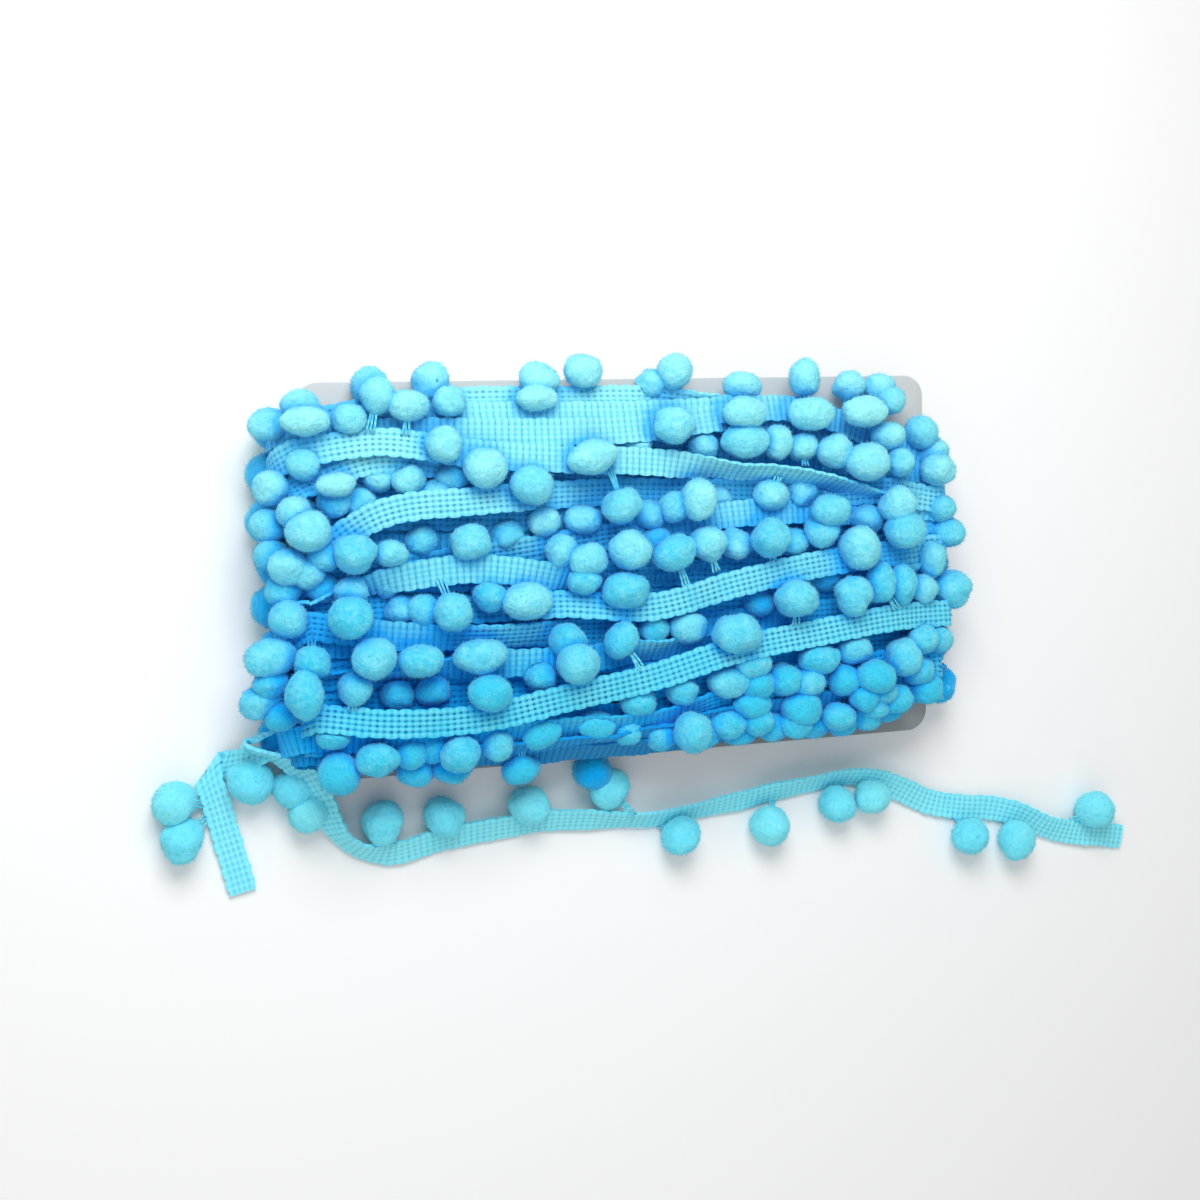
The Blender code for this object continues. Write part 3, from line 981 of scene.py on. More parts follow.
    @staticmethod
    def toned(
        name: str, points: np.ndarray, faces: np.ndarray, pompoms: Sequence[Pompom]
    ) -> bpy.types.Object:
        """Join meshes of pompoms that all have the same number of points.

        Args:
            name: the object's name.
            points: the vertices of all, in millimetres.
            faces: rows of vertex numbers.
            pompoms: the pompoms, in the same order.

        Returns:
            The object, with each pompom's own tone stored on its vertices.
        """
        item = joined_mesh(name, points, faces)
        tones = [random.Random(p.seed + 5).random() for p in pompoms]
        store(item.data, "tone", np.repeat(tones, len(points) // len(pompoms)))
        smooth_shade(item)
        return item

    def build(self, name: str, shapes: Sequence[np.ndarray], pompoms: Sequence[Pompom]) -> bpy.types.Object:
        """Join shaped pompoms, each given by its vertices, into one object of that name."""
        faces = np.vstack([self.faces + k * len(self.points) for k in range(len(shapes))])
        return self.toned(name, np.vstack(shapes), faces, pompoms)

    def pile(self, name: str, shapes: Sequence[np.ndarray], pompoms: Sequence[Pompom]) -> bpy.types.Object:
        """Make the short fibres that stand out from pompoms, as slim closed spikes rooted in the balls.

        Args:
            name: the object's name.
            shapes: the vertices of each pompom.
            pompoms: the pompoms, in the same order.

        Returns:
            The object.
        """
        spikes = []
        for shape, pompom in zip(shapes, pompoms):
            draw = np.random.default_rng(abs(pompom.seed) + 3)
            chosen = self.faces[draw.choice(len(self.faces), self.fibres, replace=False)]
            base = shape[chosen]
            middle = base.mean(axis=1)
            out = unit(np.cross(base[:, 1] - base[:, 0], base[:, 2] - base[:, 0]))
            out = unit(out + draw.normal(0.0, self.fuzz, out.shape))
            length = draw.uniform(0.5, 1.0, (len(out), 1)) * self.fibre_length
            foot = middle[:, None] + (base - middle[:, None]) * self.fibre_width - out[:, None] * self.rooted
            tip = middle + out * length
            spikes.append(np.concatenate([foot, tip[:, None]], axis=1).reshape(-1, 3))
        points = np.vstack(spikes)
        points[:, 2] = np.maximum(points[:, 2], CLEARANCE)
        first = np.arange(0, len(points), 4)[:, None, None]
        faces = (first + np.array([[0, 1, 3], [1, 2, 3], [2, 0, 3]])[None]).reshape(-1, 3)
        return self.toned(name, points, faces, pompoms)


@dataclass
class ThreadMaker:
    """Makes the twisted threads that tie each pompom to the tape's edge.

    spread is how far apart the strands run: flare times that where they start, tucked inside the tape, and
    gather times that where they end, short_of the way from the pompom's middle. lay is the length of one turn
    of their twist. Each strand bows sideways by up to sway, and up or down within droop.
    """

    strands: int = 3
    thick: float = 0.54
    spread: float = 0.66
    flare: float = 1.25
    gather: float = 0.35
    tucked: float = 0.9
    short_of: float = 0.15
    sway: float = 0.2
    droop: tuple = (-0.1, 0.5)
    lay: float = 1.5
    sides: int = 6
    steps: int = 7

    def strand(self, start: np.ndarray, end: np.ndarray, sag: np.ndarray) -> tuple[np.ndarray, ...]:
        """One strand as a tube.

        Args:
            start: where it leaves the tape.
            end: where it enters the pompom.
            sag: how far its middle bows.

        Returns:
            Its vertices, faces and the UV of each vertex.
        """
        t = np.linspace(0.0, 1.0, self.steps)[:, None]
        middle = start + (end - start) * t + sag * (4 * t * (1 - t))
        along = unit(np.gradient(middle, axis=0))
        side = unit(np.cross(along, np.array([0.13, 0.21, 0.97])))
        other = np.cross(along, side)
        angles = np.linspace(0.0, TAU, self.sides, endpoint=False)
        ring = side[:, None] * np.cos(angles)[:, None] + other[:, None] * np.sin(angles)[:, None]
        points = (middle[:, None] + ring * self.thick / 2).reshape(-1, 3)
        points[:, 2] = np.maximum(points[:, 2], CLEARANCE)
        faces = []
        for low in range(0, (self.steps - 1) * self.sides, self.sides):
            high = low + self.sides
            for k in range(self.sides):
                after = (k + 1) % self.sides
                faces.append((low + k, low + after, high + after, high + k))
        last = (self.steps - 1) * self.sides
        faces += [(3, 2, 1, 0), (5, 4, 3, 0), (last, last + 1, last + 2, last + 3)]
        faces.append((last, last + 3, last + 4, last + 5))
        far = np.linalg.norm(end - start)
        u = np.repeat(t[:, 0] * far / self.lay, self.sides)
        v = np.tile(angles / TAU, self.steps)
        return points, np.array(faces), np.stack([u, v], axis=1)

    def build(self, name: str, pompoms: Sequence[Pompom]) -> bpy.types.Object:
        """Join the threads of many pompoms into one object.

        Args:
            name: the object's name.
            pompoms: those whose threads show.

        Returns:
            The object.
        """
        points, faces, places, first = [], [], [], 0
        for pompom in filter(Pompom.hangs_free, pompoms):
            draw = random.Random(pompom.seed + 17)
            way = pompom.centre - pompom.root
            aside = unit(np.cross(way, np.array([0.0, 0.0, 1.0]))[None])[0]
            for k in range(self.strands):
                offset = (k - (self.strands - 1) / 2) * self.spread
                start = pompom.root + aside * offset * self.flare - unit(way[None])[0] * self.tucked
                end = pompom.centre - way * self.short_of + aside * offset * self.gather
                bow = [draw.uniform(-self.sway, self.sway) for _ in range(2)]
                p, f, uv = self.strand(start, end, np.array(bow + [draw.uniform(*self.droop)]))
                points.append(p)
                faces.append(f + first)
                places.append(uv)
                first += len(p)
        item = joined_mesh(name, np.vstack(points), np.vstack(faces))
        store_uv(item.data, "thread", np.vstack(places))
        smooth_shade(item)
        return item


def soft_pieces(
    label: str, maker: PompomMaker, shapes: Sequence[np.ndarray], pompoms: Sequence[Pompom],
    pile: bpy.types.Material, thread: bpy.types.Material, piled: bool = True,
) -> list[bpy.types.Object]:
    """Join pompoms, their pile and their threads into three dressed pieces.

    Args:
        label: the names of the pieces, with %s for what each holds.
        maker: the pompoms' maker.
        shapes: the vertices of each pompom.
        pompoms: the pompoms, in the same order.
        pile: the material of the pompoms.
        thread: the material of the threads.
        piled: whether their pile is made too.

    Returns:
        The pieces.
    """
    made = [dress(maker.build(label % "pompoms", shapes, pompoms), pile)]
    if piled:
        made.append(dress(maker.pile(label % "pile", shapes, pompoms), pile))
    made.append(dress(ThreadMaker().build(label % "threads", pompoms), thread))
    return made


# ---- Depth among the turns, for painted shade ----

class Shelter:
    """Tells how deep each point lies among the others, for painted shade, from a map of how high they reach
    on each side.

    The map has a margin round the objects. From each point it is read in a number of ways, at several steps.
    A point counts as covered from a depth of cover_from, more over cover_range, and cover_most at most.
    """

    cell: float = 1.0
    margin: float = 12.0
    ways: int = 10
    steps: tuple = (1.5, 3.0, 4.5, 6.5, 9.0)
    cover_from: float = 1.5
    cover_range: float = 4.0
    cover_most: float = 0.85

    def __init__(self, items: Sequence[bpy.types.Object]) -> None:
        """Map how high objects reach, upwards and downwards.

        Args:
            items: the objects.
        """
        points = np.vstack([vertices(item.data) / MM for item in items])
        self.low = points.min(axis=0) - self.margin
        self.size = ((np.ptp(points, axis=0) + 2 * self.margin) / self.cell).astype(int) + 2
        self.maps = {side: self.mapped(points, side) for side in (1.0, -1.0)}

    def cells(self, x: np.ndarray, y: np.ndarray) -> tuple[np.ndarray, ...]:
        """The map's cells of places."""
        return tuple(((way - low) / self.cell).astype(int) for way, low in zip((x, y), self.low))

    def mapped(self, points: np.ndarray, side: float) -> np.ndarray:
        """Map points on one side.

        Args:
            points: the places, in millimetres.
            side: 1 to map upwards and -1 to map downwards.

        Returns:
            The farthest point in each cell, a little smoothed.
        """
        heights = points[:, 2] * side
        grid = np.full(self.size[:2], heights.min())
        np.maximum.at(grid, self.cells(points[:, 0], points[:, 1]), heights)
        around = [np.roll(grid, (i, j), axis=(0, 1)) for i in (-1, 0, 1) for j in (-1, 0, 1)]
        return 0.5 * grid + 0.5 * np.mean(around, axis=0)

    def buried(self, points: np.ndarray, side: float) -> np.ndarray:
        """The share of the sky over each point that higher points hide, from 0 to 1.

        Args:
            points: the places, in millimetres.
            side: 1 to look upwards and -1 to look downwards.

        Returns:
            One share for each point.
        """
        grid = self.maps[side]
        height = points[:, 2] * side
        hidden = np.zeros(len(points))
        for angle in np.linspace(0.0, TAU, self.ways, endpoint=False):
            steepest = np.zeros(len(points))
            for far in self.steps:
                x = points[:, 0] + far * math.cos(angle)
                y = points[:, 1] + far * math.sin(angle)
                steepest = np.maximum(steepest, (grid[self.cells(x, y)] - height) / far)
            hidden += steepest ** 2 / (1.0 + steepest ** 2) / self.ways
        under = grid[self.cells(points[:, 0], points[:, 1])] - height
        cover = (under - self.cover_from) / self.cover_range
        return np.maximum(hidden, np.clip(cover, 0.0, self.cover_most))

    def mark(self, item: bpy.types.Object, middle: float, strength: float) -> None:
        """Write the share onto an object's vertices, as the attribute "buried" that the finishes paint as
        shade.

        Args:
            item: the object.
            middle: the height below which a point is seen from underneath.
            strength: what the share is multiplied by.
        """
        points = vertices(item.data) / MM
        share = np.where(points[:, 2] > middle, self.buried(points, 1.0), self.buried(points, -1.0))
        store(item.data, "buried", share * strength)


# ---- The winding ----

@dataclass(frozen=True)
class Turn:
    """One turn of the trim round the card.

    course is its y over the front at the stations, and levels its height over the card's middle there, or
    nothing for a packed turn. bow is how far its back run swings along y, and under how far that run lies
    below the card's middle. rolls are (x, degrees) where the tape turns about its own line: a positive one
    lifts its upper edge. faces are (x, share), the share being 0 where the open grid shows and 1 where the
    ribs do. ends are how far it stands off the card's left and right ends. shade is painted shade that its
    finish adds, darker and bluer.
    """

    name: str
    course: tuple
    levels: tuple
    bow: float
    under: float
    rolls: tuple = ((0, 0),)
    faces: tuple = ((0, 0),)
    ends: tuple = (4, 4)
    shade: float = 0.0


GRID = ((0, 0),)
RIBS = ((0, 1),)

TURNS = (
    Turn(
        "top_edge", (32, 36, 37.8, 38, 38.2, 37, 35, 30.5, 26),
        (5, 6.5, 8, 8.3, 8.3, 7, 4.5, 4.5, 4), 3, 11.6,
        ((-75, -10), (0, -8), (14, 60), (30, 60)), GRID, ends=(5, 3),
    ),
    Turn(
        "upper_ribbed", (31.5, 33, 34.3, 34.4, 34.6, 35.4, 35.6, 30, 26),
        (6, 7, 9.5, 9.8, 9.8, 9.5, 9, 7, 5), 2, 13.3,
        ((-75, -8), (40, -8), (60, 0)), RIBS, ends=(6, 4),
    ),
    Turn(
        "lower_ribbed", (30, 31, 30.8, 30.6, 31.3, 33.6, 33.5, 28, 24),
        (6, 8, 10.5, 11, 11, 9.3, 6, 5, 5), -2, 9.8,
        ((0, 0),), RIBS, ends=(4, 5),
    ),
    Turn(
        "crossing", (26.5, 28.7, 26, 24.6, 23.8, 21.7, 19.7, 15, 12),
        (9, 11.5, 12, 12, 12, 12, 12, 9.5, 6), 2, 11.6,
        ((-75, 0), (5, 0), (16, 56), (48, 60), (60, 84), (68, 30), (75, 0)),
        ((-50, 0), (-44, 1)), ends=(6.5, 5),
    ),
    Turn(
        "inner_loop", (19, 25.2, 23, 20.5, 18, 17, 16, 14, 12),
        (7, 9.5, 7, 5, 5, 5, 5, 5, 5), -3, 13.3,
        ((-80, -40), (-68, 0)), GRID, ends=(6, 4),
    ),
    Turn(
        "long_grid", (2, 13.4, 15.7, 17, 17.5, 16.5, 15.5, 16.5, 14),
        (8, 11.3, 11.5, 8.5, 6, 4.8, 5.5, 9.5, 7), 1, 9.8,
        ((-78, -45), (-66, 0), (-30, 0), (-22, 20), (40, 10), (55, 0)), GRID, ends=(4, 5),
    ),
    Turn(
        "middle_ribbed", (0, 1.5, 3.5, 6, 8.7, 11.6, 12.3, 11, 9),
        (6, 6.3, 6.5, 7, 7.5, 9, 9, 7, 6), 2, 11.6,
        ((-75, 20), (-10, 15), (10, 0)), ((-6, 0), (4, 1)), ends=(3, 4),
    ),
    Turn(
        "short_wave", (-6, -0.9, 1.2, -1.3, -4, 0, 3, 4, 4),
        (4.5, 9.8, 11, 9.8, 5, 4.5, 4.5, 4.5, 4.5), 4, 9.8,
        ((-75, 80), (-65, 62), (-56, 8), (-28, 0), (-18, 45)), RIBS, ends=(3, 3),
    ),
    Turn(
        "rising_grid", (-6, -7, -7.6, -7.2, -8.6, -4.3, -0.6, 1.5, 3),
        (4.5, 4.8, 6, 10.2, 12, 12, 12, 10.5, 7), 2, 13.3,
        ((-75, 0), (-26, 0), (-16, -14), (4, 0)), GRID, ends=(5, 5),
    ),
    Turn(
        "folded_left", (-9, -12.2, -13.6, -13.4, -13.5, -13, -12, -11, -9.5),
        (8, 9, 9.7, 7, 5, 5, 5, 5, 5), -3, 9.8,
        ((-75, 8), (-50, 12), (-42, 34), (-28, 40), (-18, 10)),
        ((-66, 0), (-62, 1), (-48, 1), (-44, 0)), ends=(6, 4),
    ),
    Turn(
        "low_ribbed", (-20, -21, -19.6, -19.6, -18.4, -17.5, -17, -17, -15),
        (5.5, 7.3, 8.8, 9.6, 8, 5.5, 5, 5, 5), 2, 11.6,
        ((-75, 72), (-50, 66), (-38, 15), (-15, 8), (0, 50)), RIBS, ends=(3, 4),
    ),
    Turn(
        "long_slant", (-28.5, -31.0, -30.9, -27.6, -24.1, -19.1, -16.2, -13.6, -13),
        (9, 12.5, 12.5, 12.5, 12.5, 12.5, 12.5, 12, 8), -2, 13.3,
        ((-76, -10), (-61, 0)), GRID, ends=(3, 5),
    ),
    Turn(
        "dark_ribbed", (-33, -34.8, -35, -34.5, -34.5, -30, -26, -24, -21),
        (6, 8.6, 8.6, 8, 7.6, 7.2, 7.6, 7.5, 5), 3, 11.6,
        ((-76, 6), (-62, 40), (10, 42), (30, 10)), ((8, 1), (14, 0)), ends=(6.5, 4), shade=0.3,
    ),
    Turn(
        "bottom_edge", (-36, -38, -38.6, -38.5, -37.5, -34, -33, -31, -28),
        (4, 5.5, 6, 6, 6, 6, 6, 6, 4), 0, 9.8,
        ((-76, 10), (-62, 56), (20, 58), (60, 30)), RIBS, ends=(4.5, 3), shade=0.74,
    ),
    Turn(
        "board_edge", (-37, -39, -40, -40.4, -40.3, -38.6, -36, -33, -29),
        (2.6, 3, 3.4, 3.6, 3.6, 3.6, 3.6, 3.4, 3), 0, 9.8,
        ((-76, 10), (-60, 45), (0, 60), (60, 45)), RIBS, ends=(3.5, 2.5), shade=0.85,
    ),
)

# The pompoms that show from the front: x, y, height over the card's middle, width along x, length along y,
# and for a turned one the degrees. Each zone runs from left to right.
TOP_ROW = (
    (-75.3, 37, 6, 8.5, 6), (-60.3, 41.2, 6, 8, 8.5, -35), (-59.6, 38.6, 11, 7.6, 7.6),
    (-47.1, 42.4, 7, 8.3, 8), (-53.3, 36.5, 12, 9.3, 6.6), (-44.2, 37.2, 11, 6.5, 5.6),
    (-23.6, 42.4, 10, 9, 7), (-24.8, 38, 12, 9.6, 5.6), (-13.3, 44.2, 10, 9, 8), (4.1, 41.8, 7, 6, 5),
    (8.7, 44.4, 10, 8, 8), (26, 41.2, 8, 9, 7), (40.7, 43, 10, 6.8, 9), (53.7, 41.4, 7, 8, 6),
    (61.7, 41, 7, 8, 5.6), (63.6, 37.8, 9, 7, 5),
)
UPPER_ZONE = (
    (-75.3, 33.1, 12, 10.3, 6.2), (-65.7, 33.6, 10, 6.5, 5.5), (-46.6, 27.6, 14.5, 7.8, 7.9),
    (-75.6, 24.4, 9, 6.3, 4.6), (-69.5, 19.7, 12, 8.6, 5.2, 6), (-59.3, 21.6, 7, 6, 5.2),
    (-53.4, 20.7, 9, 7.8, 6.3), (-43.5, 21, 8, 6, 6.4), (-47.4, 17.2, 8, 6.6, 5.2),
    (-63.3, 15.8, 7, 6.2, 5.2), (-69.2, 16.2, 8, 6.6, 7), (-37.5, 22.6, 14, 9.6, 8.6),
    (-27, 18.8, 13.5, 10.2, 8.3), (-13.5, 24.6, 15, 11.3, 7.5, 12), (-0.5, 28, 8, 6, 4.4),
    (5.9, 31.6, 15, 9.4, 8.3), (15.2, 27, 9, 6, 5.2), (23, 34.2, 15, 10.2, 7.4),
    (23.7, 28.2, 13.5, 11.2, 8.2), (32.3, 28, 12, 7.1, 8.5), (39, 26.7, 11, 7, 6.8),
    (46.4, 25.7, 13, 8.8, 7.7), (40.1, 34.2, 14, 11, 7.8), (53.8, 34.5, 14, 11, 7),
    (61.3, 29.3, 11, 9, 6.2), (63.7, 23, 12, 6.6, 6.8), (53.5, 22.9, 15, 11.2, 8.8),
)
MIDDLE_ZONE = (
    (-78, 14.2, 10, 6.6, 7), (-75.6, 10, 13.5, 9.6, 8.8), (-66.3, 5.2, 13.5, 9.2, 8.3),
    (-58, 5, 11.5, 7.2, 5.7), (-72.3, 5, 10, 6, 6.2), (-75.5, 1.5, 9, 5.5, 4.6), (-50.3, 7.6, 6, 7, 6.6),
    (-40.9, 6.9, 12, 9.4, 7.8, 12), (-58.5, -0.6, 6, 6.5, 5.2), (-66.7, -2.8, 10, 6.6, 6),
    (-72.3, -1.5, 6, 7, 6), (-31, 8.4, 5.5, 7, 6.2), (-23, 11.2, 8, 7.6, 6.3), (-14, 11.4, 8, 8.8, 6.2),
    (-6.3, 14, 13, 9.5, 7.9, 20), (1.8, 12, 8, 6.2, 5.6), (6.8, 13.6, 11, 7, 6.8),
    (11.4, 14.9, 14.5, 8.3, 9.2), (30.9, 15.8, 10.5, 8.3, 7), (19.2, 14.7, 6, 7, 7),
    (39.5, 16.6, 8, 7, 5.4), (-19.9, 4.4, 10, 7.5, 7.6), (-14.8, 2.2, 13, 9.2, 6.9, 10),
    (-15.5, -2.2, 12, 7.8, 6.2), (-5.2, 4.1, 14, 9.6, 8.6), (5.3, 3.2, 14, 10.3, 8, 15),
    (13.7, 5.2, 13, 9, 7.3), (3.2, 6, 8, 6, 6), (21.8, 4.8, 10, 7.5, 6.8), (28.5, 5.9, 14.5, 8.9, 9.2),
    (36.6, 4.8, 9, 6.5, 5.6), (44, 11.8, 14.5, 9.2, 7.3), (42.7, 7.2, 12, 8.5, 7.5),
    (50.8, 3, 14.8, 9.6, 10.4, 25), (56.1, 10, 9, 8, 7), (61.5, 12.8, 14, 8.8, 8.6), (63, 7, 14, 10.2, 9),
)
CENTRE_ZONE = (
    (-67.8, -8.3, 14, 9.3, 9), (-55.3, -7.3, 6, 6.6, 6), (-51, -7.3, 9, 6.2, 5.6), (-45.5, -8, 13, 8.3, 8),
    (-36.8, -4.8, 11, 7.6, 5.2, -20), (-28.9, -6.1, 13, 11.6, 8), (-6.5, -4.6, 14, 10.9, 8.1),
    (-75.8, -17.2, 12, 7.6, 6.8), (-63.3, -17, 14, 9.4, 8.8), (-53.1, -18, 13.5, 9.5, 7),
    (-40.1, -17.6, 13.5, 11.8, 7.8), (-19.7, -15.3, 11, 8.2, 8), (-18.6, -20.4, 14.5, 9.8, 8.9),
    (-7.5, -15.6, 12, 7, 8.8, -28), (1.8, -13.4, 8, 6.6, 5.6), (9.6, -13.6, 9, 9, 7.3),
    (19.3, -15.4, 14.5, 11.8, 9), (28.7, -8.8, 6, 7, 6), (34.4, -8, 14.5, 10.4, 8.8, -12),
    (45.9, -3.2, 7, 8, 6.2), (49, -8, 14, 8.9, 9.2), (56.7, -5.3, 13, 7.1, 9.3), (63.2, -5.5, 12, 6.6, 9.3),
    (67.7, 0, 6, 7, 7), (70.1, -7, 9, 5.6, 5.6),
)
LOWER_ZONE = (
    (-77.9, -24, 14, 7.8, 10.4), (-66.7, -23, 10.5, 7.2, 7), (-57, -25.3, 6.5, 6, 6),
    (-49.3, -24.8, 6.5, 8, 6.2), (-38.5, -25.5, 15, 9.8, 7.9), (-25.5, -23, 9, 5.2, 4.4),
    (-2.9, -29.8, 9, 8.3, 5.7), (7.6, -27.8, 9, 7.8, 6.6), (19.1, -26.4, 9, 10.3, 7.2),
    (24.8, -22.8, 10, 9.5, 7.2), (26.1, -27.5, 9, 8.5, 7.2), (33.3, -26.8, 9, 8, 7.2),
    (41.6, -22.4, 10, 10.3, 7.2), (39, -27.8, 9, 8, 7.2), (51.2, -20.7, 9, 8.9, 7.2),
    (48.6, -27.8, 9, 8.3, 7.2), (63.8, -23, 9.2, 9.1, 9.3), (69.6, -19, 9, 7.5, 7), (55.2, -27, 12, 9.8, 8),
    (25.2, -32, 8, 9.1, 7.2), (37.5, -33.5, 8.2, 9.7, 8.6), (53, -32, 10, 7.2, 6.5),
    (57.8, -30.8, 9.5, 6.4, 6.5), (62.5, -33, 8, 8, 7),
)
BOTTOM_ROW = (
    (-71.5, -32.7, 8, 7.6, 5.6), (-70.1, -41.2, 7, 8.5, 9), (-62.5, -38.6, 10, 9.4, 7.2),
    (-54.6, -38, 7, 6.9, 7), (-53.3, -42.3, 3.5, 8, 6.2), (-49.5, -37, 6.5, 5.6, 5.6),
    (-44.5, -38.5, 10, 8.6, 8.2), (-45.1, -42, 4, 8.8, 6.6), (-35.5, -37, 7.5, 7, 8),
    (-29, -43.5, 2.5, 8.8, 6.9, 15), (-25.5, -35.3, 7.5, 9.3, 7, 20), (-12.6, -34.6, 7, 9, 6.2),
    (-4.6, -36.3, 5.5, 6.6, 5.6), (3.5, -38, 5, 7, 5.2), (8.7, -37.3, 11.5, 8.7, 9.6),
    (19.7, -36.3, 6.5, 8.8, 6.3), (26.9, -36, 7, 7, 5.2), (36.4, -37.2, 7, 8, 5.2),
    (47.1, -36, 8, 8.3, 6.2), (55.8, -34.3, 8, 8.5, 5.6), (55.5, -36.4, 6.5, 7, 5.2),
    (50, -37.8, 4, 8, 4.8), (14.5, -38.4, 3.6, 8, 5.4), (23.3, -38.2, 3.6, 8.6, 5.4),
    (31.8, -37.8, 3.8, 8, 5.4), (42, -37.6, 4, 8.6, 5.4), (62, -35, 4, 8.4, 6.6),
    (-9.4, -46.3, -6.5, 9, 8.6),
)
END_ROWS = (
    (-82.3, 33.1, 5, 8.3, 6.8), (-82.1, 19.7, 6, 7.5, 7.8), (-83, 11.8, 5, 6.2, 6.8),
    (-82.5, 5.5, 5, 6.2, 7), (-79.4, 3, 9, 8.8, 7.8), (-80.6, -2, 6, 6, 6), (-79.7, -8.2, 8, 8, 8),
    (-83.8, -16, 8, 11, 8.2, 8), (-84.1, -21.3, 7, 6.2, 5.4), (-86, -25, 5, 9, 7, 25),
    (-82, -28.4, 5, 7, 6.6), (72.4, 30.5, 7, 8, 7.8), (76.4, 25.5, 6, 7, 5.8), (75.4, 21.3, 9, 8.6, 7.4),
    (77.4, 12, 6, 7.5, 5.8), (79.5, 6.3, 5, 9, 7.6), (73.7, 0.2, 7, 7.3, 8.8), (80, -7.3, 5, 9.5, 9.4),
    (75.2, -19.2, 6, 5.8, 7), (69.2, -26.5, 7, 7.8, 7), (71.9, -31, 5.5, 8, 7.3),
)
ZONES = (TOP_ROW, UPPER_ZONE, MIDDLE_ZONE, CENTRE_ZONE, LOWER_ZONE, BOTTOM_ROW, END_ROWS)

# Threads with a place of their own: where they leave the tape (x, y, height over the card's middle), then
# the x and y of the pompom that they hold.
THREADS = (
    (-8.6, 22.2, 12.3, -6.3, 14), (-11.2, 40.2, 8.6, -13.3, 44.2), (7.6, 40.2, 8.6, 8.7, 44.4),
    (-48.3, 39.6, 8.2, -47.1, 42.4), (-26.3, 23.8, 12.2, -27, 18.8), (-61.4, 31.7, 11.8, -59.6, 38.6),
    (-54, 30.8, 12, -53.3, 36.5), (31.8, 19.2, 12, 30.9, 15.8), (8.4, -4.6, 12.4, 5.3, 3.2),
    (15.6, -0.4, 12.3, 13.7, 5.2), (-4, -21.3, 12.8, -7.5, -15.6), (34.8, -13.4, 12.8, 34.4, -8),
    (-47.4, -1.6, 11.2, -45.5, -8), (-37.4, 28.2, 11.4, -37.5, 22.6), (37.8, -1.6, 12.2, 36.6, 4.8),
    (60.5, -10.6, 12.4, 56.7, -5.3), (40.5, 37.6, 9.2, 40.7, 43), (-29.5, -37.8, 6, -29, -43.5),
    (-8.4, -39, -4, -9.4, -46.3),
)


